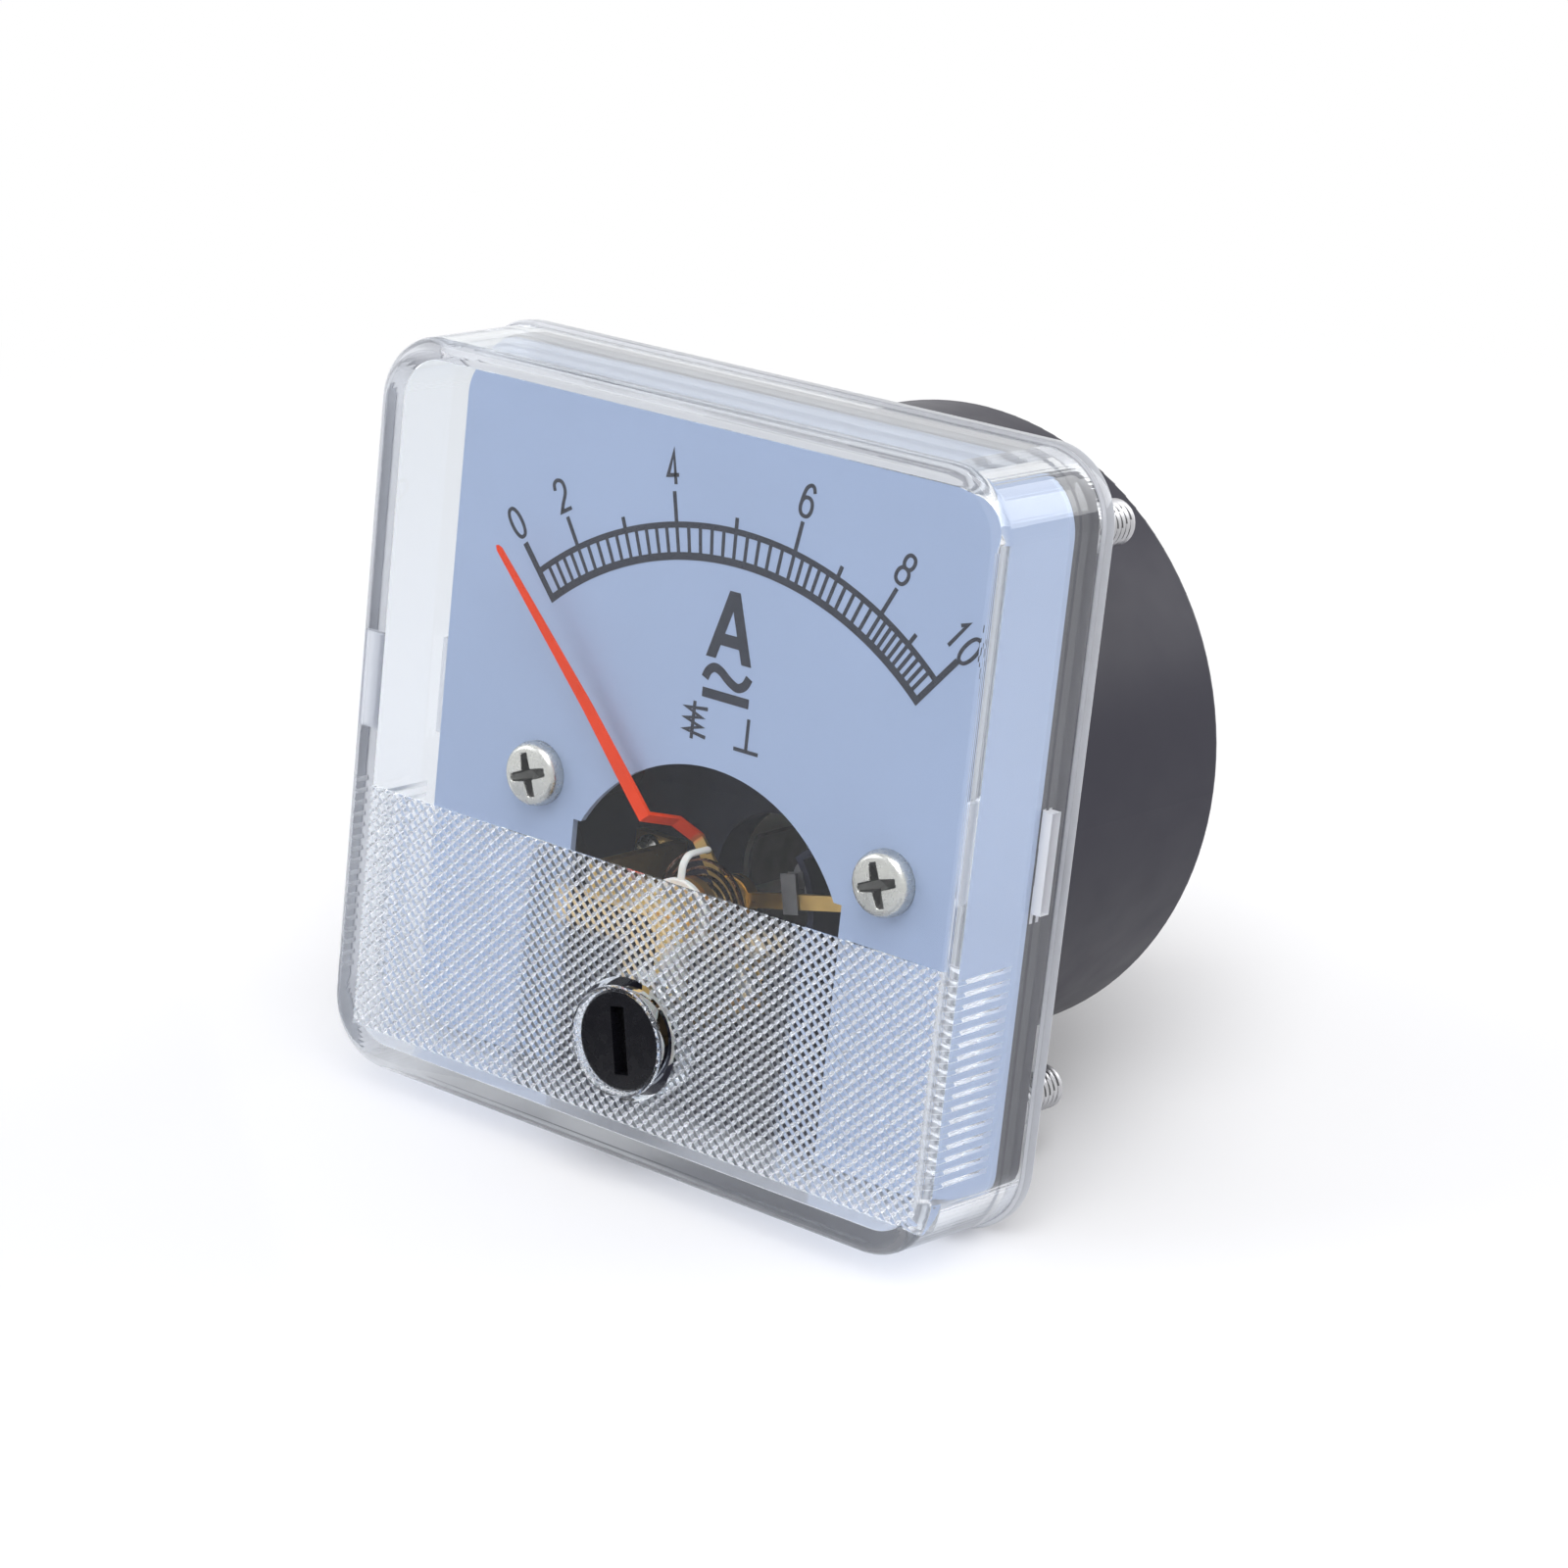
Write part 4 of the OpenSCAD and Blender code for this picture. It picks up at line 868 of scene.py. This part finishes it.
def dial_face(s):
    """The dial's sheet: a rounded square with its top edge at dial_top, less the arch over the
    movement, the window under it, which is open at the bottom, and the holes of both screws."""
    low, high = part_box("dial_plate")
    half, corner, top = high.x, s.dial_corner, s.dial_top
    window = s.window_half
    right = np.concatenate([
        [[window, -half]],
        quarter(half - corner, corner - half, corner, -90, 0, 16),
        quarter(half - corner, top - corner, corner, 0, 90, 16),
    ])
    foot = math.degrees(math.asin((s.arch_drop - s.step_drop) / s.arch_radius))
    arch = quarter(0, -s.arch_drop, s.arch_radius, 180 - foot, foot, 73)
    outline = np.concatenate([right, right[::-1] * [-1, 1], [[-window, -s.step_drop]], arch,
                              [[window, -s.step_drop]]])
    sheet = join("dial_face", [plate(outline, low.y, high.y)])
    r, front, back = 1.35 * MM, low.y - PAST, high.y + PAST
    return combine(sheet, [
        (lathe("hole", [0, r, r, 0], [front, front, back, back], middle_of(node), 48),
         "DIFFERENCE") for node in ("dial_screw_left", "dial_screw_right")])


def scale_angle(value):
    return np.radians(np.interp(value, *np.array(SCALE, float).T))


def scale_print(s, front, back, pivot_z):
    """Both arcs, the fine ticks between them, the half and numbered ticks beyond, and the thick
    first and last tick. Every line is a strip along an arc or a ray about the pointer's axis."""
    def way(theta):
        return np.stack([np.sin(theta), np.cos(theta)], -1)

    centre = np.array([0, pivot_z])
    sweep = way(np.linspace(scale_angle(0), scale_angle(10), 121))
    parts = [ribbon(sweep * radius + centre, line, front, back) for radius, line in
             ((s.outer_arc, s.outer_line), (s.inner_arc, s.inner_line))]
    outer, inner = s.outer_arc + s.outer_line / 2, s.inner_arc - s.inner_line / 2
    # Angle, both radii, width and layer of each tick
    ticks = [(scale_angle(v), s.inner_arc, s.outer_arc, s.tick_line * 0.9, 1)
             for v in (*np.arange(0.4, 2, 0.4), *np.arange(2, 10, 0.2))]
    for values, tick in (((3, 5, 7, 9), s.half_tick), ((2, 4, 6, 8), s.long_tick)):
        ticks += [(scale_angle(v), s.outer_arc, outer + tick, s.tick_line, 2) for v in values]
    ticks += [(scale_angle(v) + side * s.end_line / 2 / s.outer_arc, inner, outer + s.long_tick,
               s.end_line, 3) for v, side in ((0, -1), (10, 1))]
    parts += [ribbon(np.outer((r0, r1), way(theta)) + centre, width, front - layer * LAYER, back)
              for theta, r0, r1, width, layer in ticks]
    return join("scale_print", parts)


def number_print(s, front, back, pivot_z):
    """The numbers as strokes, each digit turned to stand on the arc."""
    parts = []
    size = np.array([s.number_width - s.number_line, s.number_height - s.number_line]) / 2
    advance = s.number_width * 1.15
    for text, x, z in NUMBERS:
        x, z = x * MM, z * MM
        lean = math.atan2(x, z - pivot_z)
        c, d = math.cos(lean), math.sin(lean)
        for k, digit in enumerate(text):
            shift = (k - (len(text) - 1) / 2) * advance
            for layer, (path, closed) in enumerate(DIGITS[digit]):
                path = (np.asarray(path) * size + [shift, 0]) @ [[c, -d], [d, c]] + [x, z]
                parts.append(ribbon(path, s.number_line, front - layer * LAYER, back, closed))
    return join("number_print", parts)


def symbol_print(s, front, back):
    """The ampere sign and the signs of the current, the movement and the mounting position."""
    parts = [plate(np.array(outline) * MM, front - layer * LAYER, back)
             for outline, layer in FILLED]
    parts += [ribbon(np.array(path) * MM, width * MM if width else s.number_line,
                     front - layer * LAYER, back) for path, width, layer in STROKES]
    return join("symbol_print", parts)


# ---- Screws, studs, spring and lever ----

# Rise of a dial screw's dome towards its edge, and reach of the recess from the middle
CROWN, RECESS_REACH = 0.16 * MM, 1.5 * MM
# A step along the axis that is too small to see
HAIR = 1e-9


def smoothstep(a, b, x):
    t = np.clip((x - a) / (b - a), 0, 1)
    return t * t * (3 - 2 * t)


def dial_screw(s, node):
    """A pan head with a cross recess on a plain shank. Over the head the depth is the dome plus
    recess(r, theta), whose floor falls to the middle and whose arms narrow outwards."""
    low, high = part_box(node)
    top, end, seat = low.y, high.y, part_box("dial_plate")[0].y
    head_r, shank_r, segments = (high.x - low.x) / 2, 1.1 * MM, 144
    flat, slot_turn, chamfer = 0.78, math.radians(20), 0.2 * MM
    r = np.linspace(0, flat, 50) * head_r
    dome = CROWN * (r / head_r) ** 2
    edge_a = np.linspace(0, math.pi / 2, 9)[1:]
    r_edge = flat * head_r + (1 - flat) * head_r * np.sin(edge_a)
    y_edge = dome[-1] + (s.head_height * 0.6) * (1 - np.cos(edge_a))
    radius = np.concatenate([r, r_edge, [head_r, head_r - 0.05 * MM, shank_r, shank_r,
                                         0.9 * shank_r, 0]])
    depth = np.concatenate([top + dome, top + y_edge,
                            [seat - 0.06 * MM, seat, seat, end - chamfer, end, end]])
    theta = np.arange(segments) * 2 * np.pi / segments - slot_turn
    x, z = np.abs(radius[:, None] * [np.cos(theta)]), np.abs(radius[:, None] * [np.sin(theta)])
    arm, along = np.minimum(x, z), np.maximum(x, z)
    width = 0.36 * MM - 0.08 * along
    inside = 1 - smoothstep(width - 0.05 * MM, width + 0.04 * MM, arm)
    dy = inside * s.recess_depth * np.clip(1 - along / RECESS_REACH, 0, 1) ** 0.5
    dy[len(r):] = 0
    return lathe(node, radius, depth, middle_of(node), segments, dy=dy)


def threaded(name, profile, centre, pitch, start, stop, crest, segments):
    """A turned piece with a helical thread: between start and stop the radius is
    crest - depth * triangle(y / pitch - theta / 2 pi), faded in and out over one turn."""
    depth_of_cut = 0.54 * pitch
    y = np.linspace(start, stop, round((stop - start) / pitch * 8))
    rows = ([p for p in profile if p[1] <= start] + [(crest, v) for v in y]
            + [p for p in profile if p[1] > stop])
    radius, depth = np.array(rows).T
    turn = depth[:, None] / pitch - np.arange(segments) / segments
    wave = np.abs(2 * (turn - np.floor(turn)) - 1)
    cut = np.clip(wave * 1.15 - 0.07, 0, 1)
    fade = np.clip((depth - start) / pitch, 0, 1) * np.clip((stop - depth) / (0.5 * pitch), 0, 1)
    return lathe(name, radius, depth, centre, segments, dr=-depth_of_cut * cut * fade[:, None])


def hairspring(s, pivot_z):
    """The hairspring's strip: a spiral whose radius grows evenly with its angle, with a flat
    section of the strip's thickness and the CAD strip's height."""
    low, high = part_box("hairspring")
    outer = high.z - pivot_z - s.spring_strip / 2
    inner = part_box("hairspring_collet")[1].x + 0.07 * MM + s.spring_strip / 2
    t = np.linspace(0, 1, 80 * s.spring_turns + 1)
    a = 2 * np.pi * s.spring_turns * t
    r = inner + (outer - inner) * t
    path = np.stack([r * np.sin(a), r * np.cos(a) + pivot_z], -1)
    return join("hairspring", [ribbon(path, s.spring_strip, low.y, high.y)])


def rod(path, across, thick, sides=20):
    """Points and faces of a bent rod with an oval section. Point (i, j) lies at path[i] +
    across * cos(t) along X + thick * sin(t) along the bend's normal, t = 2*pi*j/sides; both
    ends close in a rounded tip."""
    way = np.gradient(path, axis=0)
    way /= np.linalg.norm(way, axis=1)[:, None]
    aside = np.array([1.0, 0.0, 0.0])
    normal = np.cross(way, aside)
    t = np.arange(sides) * 2 * np.pi / sides
    tip = np.array([0.4, 0.75, 0.95])
    reach = (thick * np.sqrt(1 - tip**2))[:, None]
    spine = np.vstack([path[0] - way[0] * reach, path, path[-1] + way[-1] * reach[::-1]])
    normals = np.vstack([np.tile(normal[0], (3, 1)), normal, np.tile(normal[-1], (3, 1))])
    scale = np.concatenate([tip, np.ones(len(path)), tip[::-1]])[:, None, None]
    ring = across * np.cos(t)[:, None] * aside + thick * np.sin(t)[:, None] * normals[:, None]
    poles = np.array([path[0] - way[0] * thick, path[-1] + way[-1] * thick])
    rows, first = len(spine), np.arange(sides)
    count = rows * sides
    faces = np.concatenate([fan_faces(first, count, True),
                            fan_faces(first + count - sides, count + 1, False)])
    return (np.vstack([(spine[:, None] + scale * ring).reshape(-1, 3), poles]),
            [*strip_faces(rows, sides).tolist(), *faces.tolist()])


def hooked_lever(s, pivot_z):
    """The zero lever: a ring on the bearing screw, a forked arm down to the adjuster's crank, and
    a thin hook that rises from the ring and bends back over the hairspring's outer end."""
    low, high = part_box("zero_lever")
    front, back = low.y, low.y + s.lever_sheet
    adjuster_z = middle_of("zero_adjuster")[1]
    outer, bore, e, segments = s.lever_ring, s.lever_bore, 0.1 * MM, 64
    ring = lathe("ring", [bore, bore + e, outer - e, outer, outer, outer - e, bore + e, bore],
                 [front + e, front, front, front + e, back - e, back, back, back - e],
                 (0.0, pivot_z), segments)
    half = s.lever_arm / 2
    arm = block((-half, front, adjuster_z), (half, back, pivot_z - bore - e))
    eye = adjuster_z - s.crank_throw + s.fork_rise
    fork = s.crank_throw + s.crank_pin
    disc = lathe("disc", [0, fork - e, fork, fork, fork - e, 0],
                 [front, front, front + e, back - e, back, back], (0.0, eye), segments)
    play = s.crank_pin + s.fork_play
    slot = block((-play, front - PAST, eye - 2 * fork),
                 (play, back + PAST, eye + fork - s.fork_rise))
    # The hook's centre line, as (depth, height above the axis)
    middle, rise = (front + back) / 2, high.z - pivot_z - 0.3 * MM
    bend = smooth_path([(middle, outer - 0.3 * MM), (middle, outer + 0.5 * MM),
                        (middle + 0.1 * MM, rise - 0.55 * MM),
                        (middle + 0.5 * MM, rise - 0.1 * MM),
                        (middle + 1.1 * MM, rise), (high.y - 0.3 * MM, rise)], 6)
    path = np.column_stack([np.zeros(len(bend)), bend[:, 0], bend[:, 1] + pivot_z])
    hook = join("hook", [rod(path, 0.27 * MM, 0.2 * MM)])
    return combine(ring, [(arm, "UNION"), (disc, "UNION"), (hook, "UNION"),
                          (slot, "DIFFERENCE")])


# ---- Operators ----


class MeterOperator:
    bl_options = {"REGISTER", "UNDO"}

    def execute(self, context):
        self.build(context.scene.meter_sizes)
        return {"FINISHED"}


def pivot_height():
    """Height of the pointer's axis."""
    return middle_of("pivot_staff")[1]


class METER_OT_cover(MeterOperator, bpy.types.Operator):
    """Builds the clear front cover with its ridged field"""

    bl_idname = "meter.cover"
    bl_label = "Clear cover"

    def build(self, s):
        mesh = clear_cover(s)
        add_piece("clear_cover", mesh, finish("clear_polished_acrylic"), "clear_plastic",
                  "front_cover", sharp=28)
        # The slopes of the ridges and ribs get a faint white haze, partly painted glow
        second_finish(mesh, relief_faces(s, mesh), finish("clear_textured_acrylic"))
        # The latch windows and the rim's rear get a strong white haze, a painted glint
        second_finish(mesh, glint_faces(s, mesh), finish("pale_satin_acrylic"))


class METER_OT_dial(MeterOperator, bpy.types.Operator):
    """Builds the dial's sheet, which reaches up to the cover's upper wall"""

    bl_idname = "meter.dial"
    bl_label = "Dial"

    def build(self, s):
        add_piece("dial_face", dial_face(s), finish("pale_blue_stoved_enamel"), "dial_paint",
                  "dial_plate", sharp=28)


class METER_OT_print(MeterOperator, bpy.types.Operator):
    """Prints the scale, the numbers and the symbols on the dial"""

    bl_idname = "meter.print"
    bl_label = "Dial print"

    def build(self, s):
        sheet, pivot_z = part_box("dial_plate")[0].y, pivot_height()
        front, back = sheet - s.ink, sheet + s.ink / 4
        ink = finish("dark_screen_ink")
        for mesh in (scale_print(s, front, back, pivot_z), number_print(s, front, back, pivot_z),
                     symbol_print(s, front, back)):
            mesh.transform(Matrix.Translation((s.print_across, 0, s.print_up)))
            add_piece(mesh.name, mesh, ink, "dial_paint")


class METER_OT_dial_screws(MeterOperator, bpy.types.Operator):
    """Builds both dial screws with their cross recess"""

    bl_idname = "meter.dial_screws"
    bl_label = "Dial screws"

    def build(self, s):
        metal, recess = finish("bright_nickel_plate"), finish("dull_recess_nickel")
        for side in ("left", "right"):
            node = f"dial_screw_{side}"
            mesh = dial_screw(s, node)
            add_piece(f"cross_screw_{side}", mesh, metal, "bright_screw", node, sharp=40)
            low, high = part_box(node)
            middle = (low + high) / 2
            # Faces sunk in the cross recess get darker nickel, painted shade in the recess
            x, y, z = face_centres(mesh, list(middle))
            reach = np.hypot(x, z)
            dome = CROWN * (reach / (high.x - middle.x)) ** 2
            deep = y + middle.y - low.y > 0.1 * MM + dome
            second_finish(mesh, deep & (reach < RECESS_REACH), recess)


class METER_OT_panel_studs(MeterOperator, bpy.types.Operator):
    """Builds the four threaded panel studs"""

    bl_idname = "meter.panel_studs"
    bl_label = "Panel studs"

    def build(self, s):
        metal, groove_shade = finish("zinc_plated_steel"), finish("dull_thread_zinc")
        for corner in ("upper_left", "upper_right", "lower_left", "lower_right"):
            node = f"panel_stud_{corner}"
            low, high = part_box(node)
            centre = middle_of(node)
            r, head, tip = 1.5 * MM, (high.x - low.x) / 2, 0.67
            start, stop = 0.2 * MM, high.y - 0.45 * MM
            profile = [(0, low.y), (head, low.y), (head, -HAIR), (r, 0), (r * tip, high.y),
                       (0, high.y)]
            mesh = threaded(node, profile, centre, s.panel_pitch, start, stop, r, 40)
            add_piece(f"threaded_stud_{corner}", mesh, metal, "stud_steel", node, sharp=30)
            # Faces low in the thread's grooves get darker zinc, painted shade in the grooves
            x, y, z = face_centres(mesh, [centre[0], 0, centre[1]])
            threads = (y > 0.4 * MM) & (y < high.y - 0.5 * MM)
            second_finish(mesh, threads & (np.hypot(x, z) < r - 0.3 * s.panel_pitch), groove_shade)


class METER_OT_terminals(MeterOperator, bpy.types.Operator):
    """Builds both threaded terminal studs"""

    bl_idname = "meter.terminals"
    bl_label = "Terminal studs"

    def build(self, s):
        metal = finish("turned_brass")
        for side in ("left", "right"):
            node = f"terminal_stud_{side}"
            low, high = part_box(node)
            r, floor, head, tip = 2.0 * MM, 20 * MM, (high.z - low.z) / 2, 0.72
            start, stop = 22 * MM, high.y - 0.5 * MM
            profile = [(0, low.y), (head, low.y), (head, floor - HAIR), (r, floor),
                       (r * tip, high.y), (0, high.y)]
            mesh = threaded(node, profile, middle_of(node), s.terminal_pitch, start, stop, r, 48)
            add_piece(f"threaded_terminal_{side}", mesh, metal, "terminal_brass", node, sharp=30)


class METER_OT_hairspring(MeterOperator, bpy.types.Operator):
    """Builds the smooth hairspring"""

    bl_idname = "meter.hairspring"
    bl_label = "Hairspring"

    def build(self, s):
        add_piece("spiral_hairspring", hairspring(s, pivot_height()),
                  finish("spring_bronze_strip"), "spring_bronze", "hairspring",
                  body="zero_lever", sharp=30)


class METER_OT_lever(MeterOperator, bpy.types.Operator):
    """Builds the zero lever with its thin hook"""

    bl_idname = "meter.lever"
    bl_label = "Zero lever"

    def build(self, s):
        add_piece("hooked_lever", hooked_lever(s, pivot_height()), finish("white_acetal"),
                  "white_plastic", "zero_lever", body="zero_lever", sharp=35)


class METER_OT_finishes(MeterOperator, bpy.types.Operator):
    """Gives every CAD node that stays in view its finish"""

    bl_idname = "meter.finishes"
    bl_label = "Finishes"

    nodes = {
        "rolled_brass_sheet": ["bearing_bridge", "balance_arms"],
        "turned_brass": ["front_jewel_screw", "rear_jewel_screw", "hairspring_collet"],
        "bright_nickel_plate": ["frame_screws", "bridge_screws", "tail_weight", "side_weight"],
        "zinc_plated_steel": ["terminal_washers", "terminal_nuts"],
        "white_acetal": ["coil_bobbin"],
        "annealed_iron_sheet": ["fixed_vane", "moving_vane", "balance_clip"],
        "black_glossy_styrene": ["zero_adjuster"],
        "black_moulded_phenolic": ["base_housing"],
        "black_satin_nylon": ["movement_frame"],
        "enamelled_copper_wire": ["coil_winding"],
        "ground_polished_steel": ["pivot_staff"],
        "rolled_aluminium_sheet": ["damper_vane"],
        "blued_spring_steel": ["terminal_spring_washers"],
    }

    def build(self, s):
        wanted = [(finish(name), nodes) for name, nodes in self.nodes.items()]
        wanted.append((pointer_enamel(pivot_height()), ["pointer"]))
        for material, nodes in wanted:
            for node in nodes:
                for slot in frame["nodes"][node].material_slots:
                    slot.material = material


class METER_OT_stage(MeterOperator, bpy.types.Operator):
    """Builds the floor, the lamps, the surroundings and the camera"""

    bl_idname = "meter.stage"
    bl_label = "Stage"

    def build(self, s):
        self.floor()
        self.card()
        self.lamps()
        self.surroundings()
        self.camera(s)
        scene = bpy.context.scene
        scene.view_settings.view_transform = "Standard"
        # Light runs on round the clear walls instead of ending black
        scene.cycles.max_bounces = 24
        scene.cycles.glossy_bounces = 20
        scene.cycles.transmission_bounces = 24

    def sheet(self, name, corners, material):
        """A flat piece of the studio."""
        mesh = make_mesh(name, np.array(corners), [[0, 1, 2, 3]])
        mesh.materials.append(material)
        return make_object(name, mesh)

    def floor(self):
        """A plane that touches the rim's lower edge and the barrel's lower rear edge, on which
        the meter rests."""
        rim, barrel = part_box("front_cover"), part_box("base_housing")
        edge, barrel_radius, gap, half = 0.5 * MM, 22 * MM, 0.02 * MM, 4.0
        run = barrel[1].y - edge
        rise = -(barrel_radius - edge) - rim[0].z
        lean = math.atan2(rise, run) - math.asin(edge / math.hypot(run, rise))
        place = Matrix.Translation((0, 0, rim[0].z - gap)) @ Matrix.Rotation(lean, 4, "X")
        corners = [place @ Vector((x * half, y * half, 0))
                   for x, y in ((-1, -1), (1, -1), (1, 1), (-1, 1))]
        material, tree = blank("pale_floor")
        paint = put(tree, "BsdfPrincipled", Base_Color=colours().floor, Roughness=0.9)
        # Between these distances the floor passes into the white surroundings
        fade_from, fade_to = 0.09, 0.2
        place = put(tree, "TexCoord", get="Object")
        reach = put(tree, "VectorMath", (place, 0), get="Value", operation="LENGTH")
        far = put(tree, "MapRange", (reach, "Value"), From_Min=fade_from, From_Max=fade_to)
        share = put(tree, "Math", (far, 0), (white_rays(tree), 1), operation="MULTIPLY")
        glow = put(tree, "Emission", Color=(1.0, 1.0, 1.0, 1.0), Strength=1.0)
        show(tree, put(tree, "MixShader", (share, 0), (paint, 1), (glow, 2)))
        floor = self.sheet("floor", corners, material)

    def card(self):
        """A dark card flat on the floor before the meter, which only mirror surfaces see, so
        that the front wall doesn't mirror the bright floor over the dial."""
        near, far, half, wide = 0.03, 1.8, 0.034, 0.2
        fall, height = 0.16, -0.0248
        way = Vector((-0.59, -0.81, 0))
        side = Vector((-way.y, way.x, 0))
        corners = [way * reach + side * w for reach, w in
                   ((near, -half), (near, half), (far, wide), (far, -wide))]
        material, tree = blank("dark_card")
        show(tree, put(tree, "BsdfDiffuse", Color=linear("#34363D")))
        card = self.sheet("dark_card", [(c.x, c.y, c.y * fall + height) for c in corners],
                          material)
        for rays_of in ("camera", "diffuse", "transmission", "shadow"):
            setattr(card, f"visible_{rays_of}", False)

    def lamps(self):
        """Large soft lamps: one above the front, one at its left and one behind on the right."""
        for name, power, size, place in (
            ("key", 6.0, 0.7, (0.25, -0.35, 0.75)),
            ("fill", 2.5, 0.6, (-0.7, -0.5, 0.35)),
            ("back", 3.0, 0.6, (0.5, 0.7, 0.5)),
        ):
            lamp = bpy.data.lights.new(name, "AREA")
            lamp.energy, lamp.size = power, size
            obj = link(bpy.data.objects.new(name, lamp))
            obj.location = place
            obj.rotation_euler = (-Vector(place)).to_track_quat("-Z", "Y").to_euler()

    def surroundings(self):
        """White to the camera and to mirror and clear surfaces, softer as light."""
        world = bpy.data.worlds.new("studio")
        bpy.context.scene.world = world
        world.use_nodes = True
        tree = world.node_tree
        tree.nodes.clear()
        strength = put(tree, "MapRange", (white_rays(tree), "Value"), To_Min=0.42, To_Max=1.0)
        show(tree, put(tree, "Background", (strength, "Strength"), Color=(1.0, 1.0, 1.0, 1.0)),
             "World")

    def camera(self, s):
        """The camera, turned and moved to its target as the sizes say."""
        az, el, roll = s.azimuth, s.elevation, s.roll
        back = Vector((math.sin(az) * math.cos(el), -math.cos(az) * math.cos(el), math.sin(el)))
        right = (-back).cross(Vector((0, 0, 1))).normalized()
        up = right.cross(-back)
        across = math.cos(roll) * right + math.sin(roll) * up
        upward = -math.sin(roll) * right + math.cos(roll) * up
        place = s.aim_across * across + s.aim_up * upward + s.distance * back
        data = bpy.data.cameras.new("camera")
        data.lens, data.sensor_width = s.lens, 36
        data.clip_start, data.clip_end = 0.01, 20
        obj = link(bpy.data.objects.new("camera", data))
        obj.matrix_world = Matrix.Translation(place) @ Matrix(
            [(across[i], upward[i], back[i]) for i in range(3)]).to_4x4()
        bpy.context.scene.camera = obj


OPERATORS = (METER_OT_cover, METER_OT_dial, METER_OT_print, METER_OT_dial_screws,
             METER_OT_panel_studs, METER_OT_terminals, METER_OT_hairspring, METER_OT_lever,
             METER_OT_finishes, METER_OT_stage)


class METER_PT_panel(bpy.types.Panel):
    """Lists the meter's operators in the sidebar"""

    bl_idname = "METER_PT_panel"
    bl_label = "Panel Meter"
    bl_space_type = "VIEW_3D"
    bl_region_type = "UI"
    bl_category = "Meter"

    def draw(self, context):
        for operator in OPERATORS:
            self.layout.operator(operator.bl_idname)


CLASSES = (MeterSizes, MeterColours, *OPERATORS, METER_PT_panel)


def register():
    for cls in CLASSES:
        bpy.utils.register_class(cls)
    bpy.types.Scene.meter_sizes = PointerProperty(type=MeterSizes)
    bpy.types.Scene.meter_colours = PointerProperty(type=MeterColours)


def unregister():
    del bpy.types.Scene.meter_colours
    del bpy.types.Scene.meter_sizes
    for cls in reversed(CLASSES):
        bpy.utils.unregister_class(cls)


def main():
    register()
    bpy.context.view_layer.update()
    bpy.ops.meter.cover()
    bpy.ops.meter.dial()
    bpy.ops.meter.print()
    bpy.ops.meter.dial_screws()
    bpy.ops.meter.panel_studs()
    bpy.ops.meter.terminals()
    bpy.ops.meter.hairspring()
    bpy.ops.meter.lever()
    bpy.ops.meter.finishes()
    bpy.ops.meter.stage()


if __name__ == "__main__":
    main()
